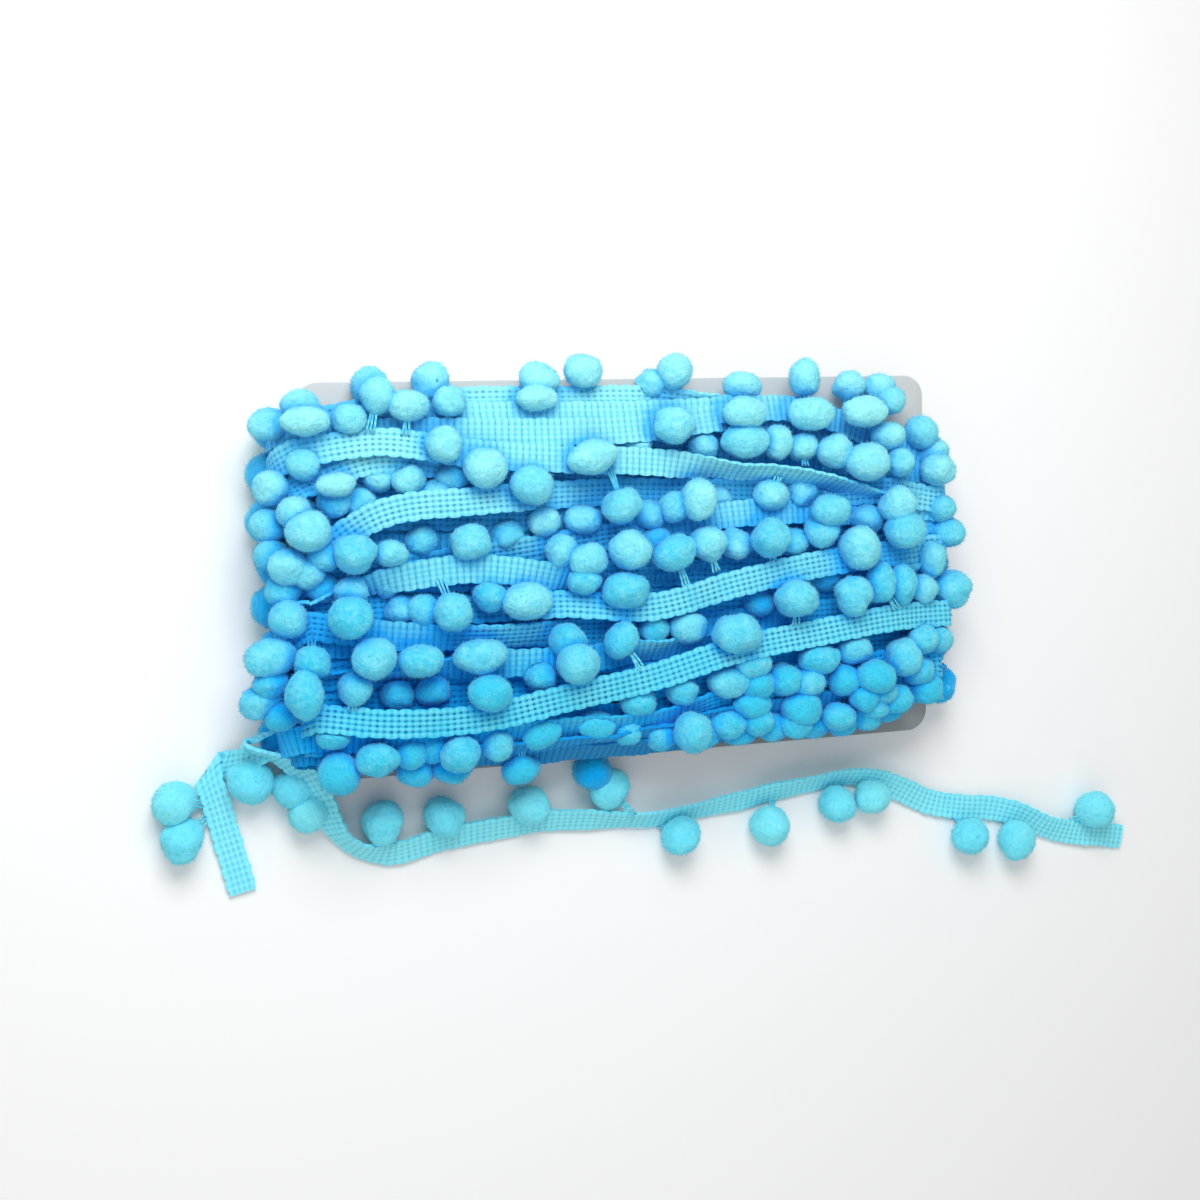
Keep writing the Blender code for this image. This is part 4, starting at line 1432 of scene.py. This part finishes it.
@dataclass
class Winding:
    """The turns round the card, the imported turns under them, and their pompoms.

    The turns sag towards the card's ends, over its front and back. Where they cross they lie stack_gap apart.
    They turn round its ends through twice end_angle, and swing by up to lean degrees. Pompoms are pressed
    against them where they are rolled by less than flat_up_to, and elsewhere their bed is far_off. The packed
    turns drift by packed_shift and draw together on their way to the right end, every other one packed_step
    higher.

    Pompoms of the back start at back_first along each run, to its side and at a height within ranges, and
    those at the ends likewise. Back runs below lowest_hanging have theirs on the upper side, so that none
    hangs out under the card. No pompom lower than small_above is narrower than least_size.
    """

    half: float = CARD_LENGTH / 2
    front_points: int = 101
    arc_points: int = 13
    end_angle: float = 75.0
    end_round: float = 0.7
    front_sag: float = 1.6
    back_sag: float = 2.2
    sag_power: int = 6
    stack_gap: float = 1.0
    settling_rounds: int = 5
    lean: float = 6.0
    flat_up_to: float = 25.0
    far_off: float = 999.0
    packed_level: float = 4.7
    packed_step: float = 0.45
    packed_pitch: float = 6.9
    packed_half: float = 34.5
    packed_shift: float = 12.5
    packed_narrowing: float = 0.84
    packed_ends: tuple = (2.2, 2.8)
    core_size: tuple = (CARD_LENGTH + 2.0, 56.0, 8.4)
    core_rounding: float = 3.2
    card_slot: tuple = (CARD_LENGTH + 0.7, 120.0, 2.7)
    back_pitch: float = 19.0
    back_first: tuple = (4, 16)
    back_aside: tuple = (3.5, 6.5)
    back_height: tuple = (3.6, 4.6)
    side_pitch: float = 9.5
    side_rows: tuple = (-33.0, 34.0)
    side_reach: tuple = (4.5, 6.5)
    side_drop: tuple = (3, 6)
    lowest_hanging: float = -31.0
    least_size: float = 7.3
    small_above: float = 11.2
    heights: dict = field(default_factory=dict)

    def front_x(self) -> np.ndarray:
        """The x of the points over the front."""
        return np.linspace(-self.half, self.half, self.front_points)

    def pairs(self) -> Iterable[tuple[Turn, Turn]]:
        """Each turn with the one that its back run leads to."""
        return zip(TURNS, TURNS[1:] + TURNS[-1:])

    def back_y(self, turn: Turn, after: Turn, x: np.ndarray) -> np.ndarray:
        """Read the course of a turn's back run, on its way to the next turn's left end.

        Args:
            turn: the turn.
            after: the one that it leads to.
            x: where to read it.

        Returns:
            The y there.
        """
        share = 0.5 - np.asarray(x, float) / CARD_LENGTH
        start = turn.course[-1]
        return start + (after.course[0] - start) * share + turn.bow * np.sin(math.pi * share)

    def sag(self, x: np.ndarray, depth: float) -> np.ndarray:
        """How far a run falls towards the card at x, up to a depth at the ends."""
        return depth * (np.abs(x) / self.half) ** self.sag_power

    def settle(self) -> None:
        """Work out how high each front run lies: where two overlap, the higher one passes over the other."""
        x = self.front_x()
        sag = self.sag(x, self.front_sag)
        y = np.array([at_stations(t.course, x) for t in TURNS])
        z = np.array([at_stations(t.levels, x) - sag for t in TURNS])
        for _ in range(self.settling_rounds):
            for column in range(len(x)):
                order = np.argsort(z[:, column])
                for k, high in enumerate(order):
                    for low in order[:k]:
                        apart = abs(y[high, column] - y[low, column]) / TAPE_WIDTH
                        if apart < 1.0:
                            lift = self.stack_gap * min(1.0, 4.0 * (1.0 - apart))
                            z[high, column] = max(z[high, column], z[low, column] + lift)
            z = np.maximum(z, [softened(row, "edge") for row in z])
        self.heights = {turn.name: row for turn, row in zip(TURNS, z)}

    def end_arc(
        self, side: float, stand_off: float, top: float, bottom: float, y: np.ndarray
    ) -> tuple[np.ndarray, np.ndarray]:
        """The tape round one end of the card.

        Args:
            side: 1 for the right end, from the front to the back, and -1 for the left end, the other way.
            stand_off: how far it stands off the card's end.
            top: its height over the card's middle at the front.
            bottom: the same at the back, as a positive depth.
            y: the y of its points.

        Returns:
            Its points and outward directions.
        """
        angle = np.radians(np.linspace(self.end_angle, -self.end_angle, self.arc_points))[::int(side)]
        height = np.where(angle > 0, top, bottom)
        out = self.half + stand_off * np.cos(angle) ** self.end_round
        points = np.stack([side * out, y, height * np.sin(angle)], axis=1)
        return points, np.stack([side * np.cos(angle), 0 * angle, np.sin(angle)], axis=1)

    def loop(self, turn: Turn, after: Turn) -> Line:
        """The closed line of one turn: front, right end, back, left end.

        Args:
            turn: the turn.
            after: the one that its back run leads to.

        Returns:
            The line, with outward normals.
        """
        x = self.front_x()
        y = at_stations(turn.course, x)
        z = self.heights[turn.name]
        depth = turn.under - self.back_sag - TAPE_THICK / 2
        right_y = y[-1] + (turn.course[-1] - y[-1]) * np.linspace(0.0, 1.0, self.arc_points)
        share = np.linspace(0.0, 1.0, self.arc_points + 2)[1:-1]
        left_y = after.course[0] + (y[0] - after.course[0]) * share
        back_x = x[::-2]
        back_z = self.sag(back_x, self.back_sag) - turn.under + TAPE_THICK / 2
        back = np.stack([back_x, self.back_y(turn, after, back_x), back_z], axis=1)
        right, right_outs = self.end_arc(1.0, turn.ends[1], z[-1], depth, right_y)
        left, left_outs = self.end_arc(-1.0, turn.ends[0], z[0], depth, left_y)
        up = np.tile([0.0, 0.0, 1.0], (len(x), 1))
        down = np.tile([0.0, 0.0, -1.0], (len(back), 1))
        middle = np.vstack([np.stack([x, y, z], axis=1), right, back, left])
        middle = middle + np.array([0.0, 0.0, CARD_MIDDLE])
        return self.framed(turn, middle, np.vstack([up, right_outs, down, left_outs]))

    def framed(self, turn: Turn, middle: np.ndarray, outs: np.ndarray) -> Line:
        """Give a closed line its across directions, normals and faces, with the turn's rolls.

        Args:
            turn: the turn.
            middle: the points of its middle line.
            outs: the outward direction at each.

        Returns:
            The line.
        """
        along = unit(np.roll(middle, -1, axis=0) - np.roll(middle, 1, axis=0))
        across = unit(np.cross(outs, along))
        normals = np.cross(along, across)
        front = np.arange(len(middle)) < self.front_points
        seed = sum(map(ord, turn.name))
        lean = self.lean * wobble(seed, 4, 0.6, 3.0)(np.arange(len(middle)) / len(middle))
        xs, degrees = zip(*turn.rolls)
        ends = np.abs(middle[:, 0]) > self.half
        lean = lean + np.where(front | ends, np.interp(middle[:, 0], xs, degrees), 0.0)
        lean = softened(lean, "wrap")
        across = turned(across, along, np.radians(lean))
        normals = turned(normals, along, np.radians(lean))
        xs, shares = zip(*turn.faces)
        left = middle[:, 0] < -self.half
        ribbed = np.where(front | left, np.interp(middle[:, 0], xs, shares), shares[-1])
        return Line(middle, across, normals, ribbed, closed=True)

    def packed_loops(self) -> Iterable[tuple[str, Line]]:
        """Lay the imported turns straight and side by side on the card.

        Yields:
            The name and line of each.
        """
        count = int(self.packed_half * 2 / self.packed_pitch) + 1
        for k in range(count):
            y = -self.packed_half + k * self.packed_pitch
            level = self.packed_level + self.packed_step * (k % 2)
            face = GRID if k % 3 else RIBS
            shares = np.linspace(1.0, self.packed_narrowing, len(STATIONS))
            course = tuple(y * share - self.packed_shift * (1.0 - share) for share in shares)
            turn = Turn("packed_%02d" % k, course, (), 0, level, faces=face, ends=self.packed_ends)
            self.heights[turn.name] = np.full(self.front_points, level)
            yield turn.name, self.loop(turn, turn)

    def back_pompoms(self, turn: Turn, after: Turn, draw: random.Random) -> Iterable[Pompom]:
        """Place the pompoms of a back run, between the winding and the surface.

        Args:
            turn: the turn.
            after: the one that it leads to.
            draw: the source of chance.

        Yields:
            Each pompom.
        """
        x = -self.half + draw.uniform(*self.back_first)
        while x < self.half:
            run = float(self.back_y(turn, after, x))
            side = -1.0 if run > self.lowest_hanging else 1.0
            y = run + side * draw.uniform(*self.back_aside)
            place = np.array([x, y, draw.uniform(*self.back_height)])
            root = np.array([x, run + side * TAPE_WIDTH / 2, CARD_MIDDLE - turn.under + 0.4])
            size = POMPOM * 0.95
            yield Pompom(place, (size, size, size * 0.85), 0.0, int(x * 7) + 9000, root, Group.BACK)
            x += self.back_pitch * draw.uniform(0.85, 1.15)

    def side_pompoms(self, draw: random.Random) -> Iterable[Pompom]:
        """Place the pompoms low at both ends, under those that show.

        Args:
            draw: the source of chance.

        Yields:
            Each pompom.
        """
        for side in (-1, 1):
            y = self.side_rows[0] + (side + 1)
            while y < self.side_rows[1]:
                x = side * (self.half + draw.uniform(*self.side_reach))
                place = np.array([x, y, CARD_MIDDLE - draw.uniform(*self.side_drop)])
                root = place - np.array([side * 5.0, -3.0, 0.0])
                size = POMPOM * draw.uniform(0.86, 1.0)
                yield Pompom(place, (size, size, size * 0.9), 0.0, int(y * 5) + 500 * side, root, Group.END)
                y += self.side_pitch * draw.uniform(0.9, 1.15)

    def edge_near(self, centre: np.ndarray) -> np.ndarray:
        """Find the nearest point of a front run's edge to a pompom.

        Args:
            centre: the pompom's middle.

        Returns:
            The point that its threads leave.
        """
        x = self.front_x()
        edges = []
        for turn in TURNS:
            y = at_stations(turn.course, x)
            z = self.heights[turn.name] + CARD_MIDDLE
            edges.extend(np.stack([x, y + side * TAPE_WIDTH / 2, z], axis=1) for side in (-1, 1))
        points = np.vstack(edges)
        return points[np.linalg.norm(points - centre, axis=1).argmin()]

    def pompoms(self) -> list[Pompom]:
        """Place all pompoms of the winding.

        Returns:
            The pompoms, each with the place on the tape that its threads leave.
        """
        draw = random.Random(7)
        held = {(x1, y1): np.array([x0, y0, CARD_MIDDLE + level]) for x0, y0, level, x1, y1 in THREADS}
        made = []
        for x, y, level, width, length, *turn in (row for zone in ZONES for row in zone):
            centre = np.array([x, y, CARD_MIDDLE + level])
            least = self.least_size if level < self.small_above else 0.0
            width, length = max(width, least), max(length, least * 0.92)
            depth = min(width, length) * draw.uniform(0.95, 1.1)
            root = held[(x, y)] if (x, y) in held else self.edge_near(centre)
            group = Group.UPPER if y > 0 else Group.LOWER
            angle = turn[0] if turn else 0.0
            made.append(Pompom(centre, (width, length, depth), angle, 31 * len(made), root, group))
        for turn, after in self.pairs():
            made.extend(self.back_pompoms(turn, after, draw))
        made.extend(self.side_pompoms(draw))
        return made

    def beds(self) -> list[Bed]:
        """List the runs that pompoms are pressed against.

        Returns:
            The front and back run of each turn.
        """
        x = self.front_x()
        beds = []
        for turn, after in self.pairs():
            rolled = np.interp(x, *zip(*turn.rolls))
            y = np.where(np.abs(rolled) < self.flat_up_to, at_stations(turn.course, x), self.far_off)
            beds.append(Bed(x, y, self.heights[turn.name] + CARD_MIDDLE, 1.0))
            back_z = np.full(len(x), CARD_MIDDLE - turn.under + TAPE_THICK / 2)
            beds.append(Bed(x, self.back_y(turn, after, x), back_z, -1.0))
        return beds

    def core(self, material: bpy.types.Material) -> bpy.types.Object:
        """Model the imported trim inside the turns, as a rounded block.

        Args:
            material: the material of the tape.

        Returns:
            The block, with a slot for the card.
        """
        item = block("packed_core", self.core_size)
        apply_modifier(item, "BEVEL", width=self.core_rounding * MM, segments=5)
        slot = block("card_slot", self.card_slot)
        apply_modifier(item, "BOOLEAN", operation="DIFFERENCE", solver="EXACT", object=slot)
        bpy.data.objects.remove(slot)
        item.data.uv_layers[0].name = "tape"
        smooth_shade(item, 40.0)
        return dress(item, material)

    def build(self, looks: Looks) -> list[bpy.types.Object]:
        """Model and dress the whole winding.

        Args:
            looks: the materials.

        Returns:
            Its objects.
        """
        self.settle()
        made = [self.core(looks.tape)]
        for name, line in self.packed_loops():
            strip = Strip("turn_" + name, line, seed=len(made), cells=2, per_rib=2)
            made.append(dress(strip.build(), looks.tape))
        for k, (turn, after) in enumerate(self.pairs()):
            strip = Strip("turn_" + turn.name, self.loop(turn, after), seed=40 + k, shade=turn.shade)
            made.append(dress(strip.build(), looks.tape))
        made.extend(self.soft_parts(looks))
        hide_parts("wound_trim")
        return made

    def soft_parts(self, looks: Looks) -> list[bpy.types.Object]:
        """Model the pompoms and threads of the winding, joined by where they lie.

        Args:
            looks: the materials.

        Returns:
            The pieces.
        """
        pompoms = self.pompoms()
        maker, plain_maker = PompomMaker(4), PompomMaker(3)
        shapes = [(plain_maker if p.group is Group.BACK else maker).shaped(p) for p in pompoms]
        maker.bedded(shapes, pompoms, self.beds())
        maker.pressed(shapes, pompoms)
        maker.grounded(shapes)
        made = []
        for group in (Group.UPPER, Group.LOWER, Group.BACK, Group.END):
            mine = [k for k, p in enumerate(pompoms) if p.group is group]
            seen = group is not Group.BACK
            made += soft_pieces(
                "%s_" + group.value, maker if seen else plain_maker, [shapes[k] for k in mine],
                [pompoms[k] for k in mine], looks.pompom, looks.thread, piled=seen,
            )
        return made


# ---- The card ----

@dataclass
class Card:
    """The flat board that the trim is wound on.

    It lies askew by some degrees and moved by shift. taper is how far its right end's lower corner is in.
    """

    length: float = CARD_LENGTH + 2.4
    height: float = 86.0
    thick: float = 2.0
    corner: float = 5.0
    softening: float = 0.3
    askew: float = 0.9
    shift: tuple = (1.3, 0.8, 0.0)
    taper: float = 4.0

    def build(self, looks: Looks) -> bpy.types.Object:
        """Model the board with rounded corners and softened edges.

        Args:
            looks: the materials.

        Returns:
            The board.
        """
        item = block("card_board", (self.length, self.height, self.thick))
        bpy.ops.object.mode_set(mode="EDIT")
        bpy.ops.mesh.select_all(action="DESELECT")
        bpy.ops.mesh.select_mode(type="EDGE")
        bpy.ops.object.mode_set(mode="OBJECT")
        for edge in item.data.edges:
            a, b = (item.data.vertices[k].co for k in edge.vertices)
            edge.select = abs(a.z - b.z) > self.thick * MM / 2
        bpy.ops.object.mode_set(mode="EDIT")
        bpy.ops.mesh.bevel(offset=self.corner * MM, segments=10, affect="EDGES")
        bpy.ops.object.mode_set(mode="OBJECT")
        apply_modifier(item, "BEVEL", width=self.softening * MM, segments=2, limit_method="ANGLE",
                       angle_limit=math.radians(60))
        smooth_shade(item, 35.0)
        for vertex in item.data.vertices:
            low = 0.5 - vertex.co.y / (self.height * MM)
            vertex.co.x -= self.taper * MM * low if vertex.co.x > 0 else 0.0
        shift = Matrix.Translation([s * MM for s in self.shift])
        item.data.transform(shift @ Matrix.Rotation(math.radians(self.askew), 4, "Z"))
        dress(item, looks.board)
        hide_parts("winding_card")
        return item


# ---- The free ends ----

@dataclass
class FreeEnd:
    """An end of the trim that has come off the winding.

    route is x, y, z of the tape's middle line, its roll in degrees, where 0 lies flat and 90 stands on edge,
    and the slant of its cross lines in degrees, which runs them along a fold. pompoms are (x, y, z, width,
    place), place being the point of the route that the threads leave. edge_room and face_room keep its
    scallops and its face off the surface, and per_step is how many points a step of the route has.
    """

    name: str
    node: str
    route: tuple
    pompoms: tuple
    ribbed: float
    per_step: int = 8
    edge_room: float = 0.4
    face_room: float = 0.5

    def line(self) -> Line:
        """Lay out the tape.

        Returns:
            The line, with its lower edge on the surface or above it.
        """
        columns = list(zip(*self.route))
        count = (len(self.route) - 1) * self.per_step
        where = np.arange(count + 1) / self.per_step
        points = np.stack([smooth(columns[k], where) for k in range(3)], axis=1)
        along = unit(np.gradient(points, axis=0))
        level = unit(np.cross(np.array([0.0, 0.0, 1.0]), along))
        roll = np.radians(smooth(columns[3], where))
        across = turned(level, along, roll)
        normals = np.cross(along, across)
        slant = np.radians(smooth(columns[4], where))
        across = turned(across, normals, slant) / np.cos(slant)[:, None]
        lowest = np.abs(across[:, 2]) * (TAPE_WIDTH / 2 + self.edge_room)
        lowest = lowest + np.abs(normals[:, 2]) * self.face_room + 2 * CLEARANCE
        points[:, 2] = np.maximum(points[:, 2], lowest)
        return Line(points, across, normals, np.full(len(points), self.ribbed))

    def balls(self, line: Line) -> list[Pompom]:
        """Place the pompoms of the end.

        Args:
            line: the tape's line.

        Returns:
            The pompoms, each tied to the nearer edge of the tape.
        """
        made = []
        for k, (x, y, z, size, place) in enumerate(self.pompoms):
            centre = np.array([x, y, z], float)
            at = place * self.per_step
            side = 1.0 if (centre - line.points[at]) @ line.across[at] > 0 else -1.0
            root = line.points[at] + line.across[at] * side * TAPE_WIDTH / 2
            sizes = (size, size * 0.92, min(size, 2 * z - 0.2))
            made.append(Pompom(centre, sizes, 40.0 * k, 8000 + 31 * k, root, Group.LOOSE))
        return made

    def build(self, looks: Looks, maker: PompomMaker) -> list[bpy.types.Object]:
        """Args:
            looks: the materials.
            maker: the pompoms' maker.

        Returns:
            Its tape, pompoms and threads.
        """
        line = self.line()
        strip = Strip(self.name + "_tape", line, seed=77 + len(self.pompoms), flutter=0.12)
        tape = dress(strip.build(), looks.loose)
        pompoms = self.balls(line)
        shapes = [maker.shaped(p) for p in pompoms]
        maker.pressed(shapes, pompoms)
        maker.grounded(shapes)
        soft = soft_pieces(self.name + "_%s", maker, shapes, pompoms, looks.fluffy, looks.thread)
        path = line.resampled(len(self.route) * 3).points * MM
        length = float(line.lengths()[-1]) * MM
        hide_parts(self.node)
        tuple(path[0])
        [tuple(p) for p in path]
        LOG.info("%s: %.0f mm long", self.name, length / MM)
        return [tape] + soft


LONG_END = FreeEnd(
    name="long_end",
    node="long_end",
    route=(
        (-80, -31.5, 9, 88, 0), (-84.6, -32.6, 9.4, 88, 0), (-88.3, -34.4, 10.4, 88, 0),
        (-87.3, -35.6, 11.2, 82, 0), (-84.2, -36.7, 10.9, 76, 0), (-81, -38.2, 10.4, 68, 0),
        (-78.2, -40, 9.8, 56, 0), (-75.9, -42.1, 9.2, 42, 0), (-73.9, -45.4, 8, 32, 0),
        (-71.8, -48.8, 6.6, 32, 0), (-70.1, -52.9, 5, 40, 0), (-67.6, -57, 3.7, 60, 0),
        (-63, -60.4, 3.2, 56, 0), (-56.5, -61.6, 2.2, 34, 0), (-49, -60.4, 2, 30, 0),
        (-40, -58.8, 2, 30, 0), (-30, -57.8, 2, 30, 0), (-20, -57.2, 2.1, 34, 0), (-10, -57.6, 2.4, 42, 0),
        (0, -58.6, 2.8, 52, 0), (9, -58.6, 2.8, 54, 0), (18, -57.6, 2.6, 48, 0), (28, -56.2, 2.4, 42, 0),
        (38, -54.8, 2.4, 42, 0), (48, -53.4, 2.6, 48, 0), (57, -52.6, 2.6, 52, 0), (65, -53.6, 2.4, 40, 0),
        (73, -56.8, 1.9, 24, 0), (81, -60.6, 1.2, 8, 0), (90, -62.6, 1, 4, 0), (99, -63.6, 1.4, 12, 0),
        (107, -65.8, 2, 28, 0), (114, -69.4, 2, 28, 0), (122, -71.6, 1.5, 14, 0), (131, -73, 1.1, 6, 0),
        (138, -74.2, 1, 4, 0),
    ),
    pompoms=(
        (-77.8, -45.3, 4.9, 9.4, 8), (-74.9, -50.7, 4.8, 9.2, 9), (-58.5, -54.2, 4.9, 9.8, 13),
        (-44.3, -54, 4.9, 9.6, 15), (-24.5, -53, 4.9, 9.8, 17), (-5, -50.4, 4.9, 10, 19),
        (12.5, -63, 4.9, 9.6, 20), (35.5, -62.6, 4.9, 9.8, 23), (54, -58.8, 4.7, 9.2, 25),
        (63.5, -57.8, 4.6, 9, 26), (90.5, -69.6, 4.9, 9.6, 29), (104, -71.6, 4.9, 9.8, 31),
        (127.5, -66, 4.9, 9.8, 33),
    ),
    ribbed=0.45,
)

SHORT_END = FreeEnd(
    name="short_end",
    node="short_end",
    route=(
        (-80, -35.5, 7.6, 86, 0), (-84, -37.2, 6.6, 70, 0), (-87, -38.4, 4.6, 44, 0),
        (-90, -39.1, 2.4, 18, -10), (-92.3, -39.4, 1, 0, -30), (-94.3, -39.6, 0.6, 0, -39),
        (-95, -39.7, 0.8, -45, -42), (-95.5, -40, 1.3, -90, -45), (-95.7, -40.6, 1.8, -135, -42),
        (-95.7, -41.3, 2, -180, -39), (-95.3, -43.4, 2, -180, -25), (-94.6, -46, 1.8, -180, -8),
        (-93.5, -50, 1.3, -180, 0), (-92.2, -55.5, 0.9, -180, 0), (-90.6, -61.5, 0.8, -180, 0),
        (-89.2, -67.5, 0.8, -180, 0),
    ),
    pompoms=(
        (-87, -43, 4.9, 10.4, 3), (-103.5, -46.5, 4.9, 9.8, 11), (-102, -54.6, 4.9, 9.6, 12),
    ),
    ribbed=0.0,
)


# ---- Camera, light and floor ----

@dataclass
class Studio:
    """Camera over the card, soft light from beyond its upper edge, and a pale floor.

    The camera looks at target from a distance in millimetres, to_left degrees off the vertical, and is rolled
    by roll degrees. floor_drop is how far the floor lies under the model, in metres.
    """

    target: tuple = (-8.0, -6.6, 13.0)
    distance: float = 380.0
    to_left: float = 18.7
    roll: float = -2.3
    lens: float = 50.0
    white: Colour = (1.0, 1.0, 1.0, 1.0)
    sky: float = 0.48
    floor_size: float = 6.0
    floor_drop: float = 0.0002

    def camera(self) -> bpy.types.Object:
        """Set the camera over the card, a little to its left.

        Returns:
            The camera.
        """
        yaw, roll = math.radians(self.to_left), math.radians(self.roll)
        back = Vector((-math.sin(yaw), 0.0, math.cos(yaw)))
        right = Vector((0, 1, 0)).cross(back).normalized()
        up = back.cross(right)
        c, s = math.cos(roll), math.sin(roll)
        right, up = right * c + up * s, up * c - right * s
        data = bpy.data.cameras.new("camera")
        data.lens = self.lens
        data.sensor_width = 36.0
        data.clip_start = 0.01
        item = linked("camera", data)
        place = (Vector(self.target) + back * self.distance) * MM
        columns = Matrix((right, up, back)).transposed().to_4x4()
        item.matrix_world = Matrix.Translation(place) @ columns
        bpy.context.scene.camera = item
        return item

    def lamp(self, name: str, place: tuple, aim: tuple, size: float, power: float) -> None:
        """Add a soft white area lamp.

        Args:
            name: its name.
            place: where it is, in metres.
            aim: the point that it shines at, in metres.
            size: its width, in metres.
            power: its power, in watts.
        """
        data = bpy.data.lights.new(name, "AREA")
        data.shape = "SQUARE"
        data.size = size
        data.energy = power
        data.color = self.white[:3]
        item = linked(name, data)
        turn = (Vector(aim) - Vector(place)).to_track_quat("-Z", "Y").to_matrix().to_4x4()
        item.matrix_world = Matrix.Translation(Vector(place)) @ turn

    def build(self) -> None:
        """Add the camera, lamps, sky and floor."""
        self.camera()
        self.lamp("key", (-0.08, 0.23, 0.35), (0, 0, 0.01), size=0.24, power=1.31)
        self.lamp("fill", (-0.12, -0.36, 0.42), (0, -0.05, 0.01), size=0.5, power=0.45)
        world = bpy.data.worlds.new("soft_sky")
        world.use_nodes = True
        sky = world.node_tree.nodes["Background"]
        sky.inputs["Color"].default_value = self.white
        sky.inputs["Strength"].default_value = self.sky
        bpy.context.scene.world = world
        bpy.context.scene.view_settings.view_transform = "Standard"
        deselect()
        bpy.ops.mesh.primitive_plane_add(size=self.floor_size, location=(0, 0, -self.floor_drop))
        floor = bpy.context.object
        floor.name = "floor"
        floor.data.materials.append(PlainFinish("pale_floor", (0.97, 0.97, 0.97, 1.0), 0.8).material())


def main() -> None:
    """Build the scene in order."""
    logging.basicConfig(level=logging.INFO, format="%(name)s %(message)s")
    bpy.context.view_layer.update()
    Studio().build()
    looks = Looks.make()
    maker = PompomMaker()
    loose = [item for end in (LONG_END, SHORT_END) for item in end.build(looks, maker)]
    Card().build(looks)
    wound = Winding().build(looks)
    # Painted shade: each part's occlusion share feeds its finish's darker blue, at a fifth of the strength on
    # the loose ends.
    for items, middle, strength in ((loose, 0.0, 0.2), (wound, CARD_MIDDLE, 1.0)):
        shelter = Shelter(items)
        for item in items:
            shelter.mark(item, middle, strength)


if __name__ == "__main__":
    main()
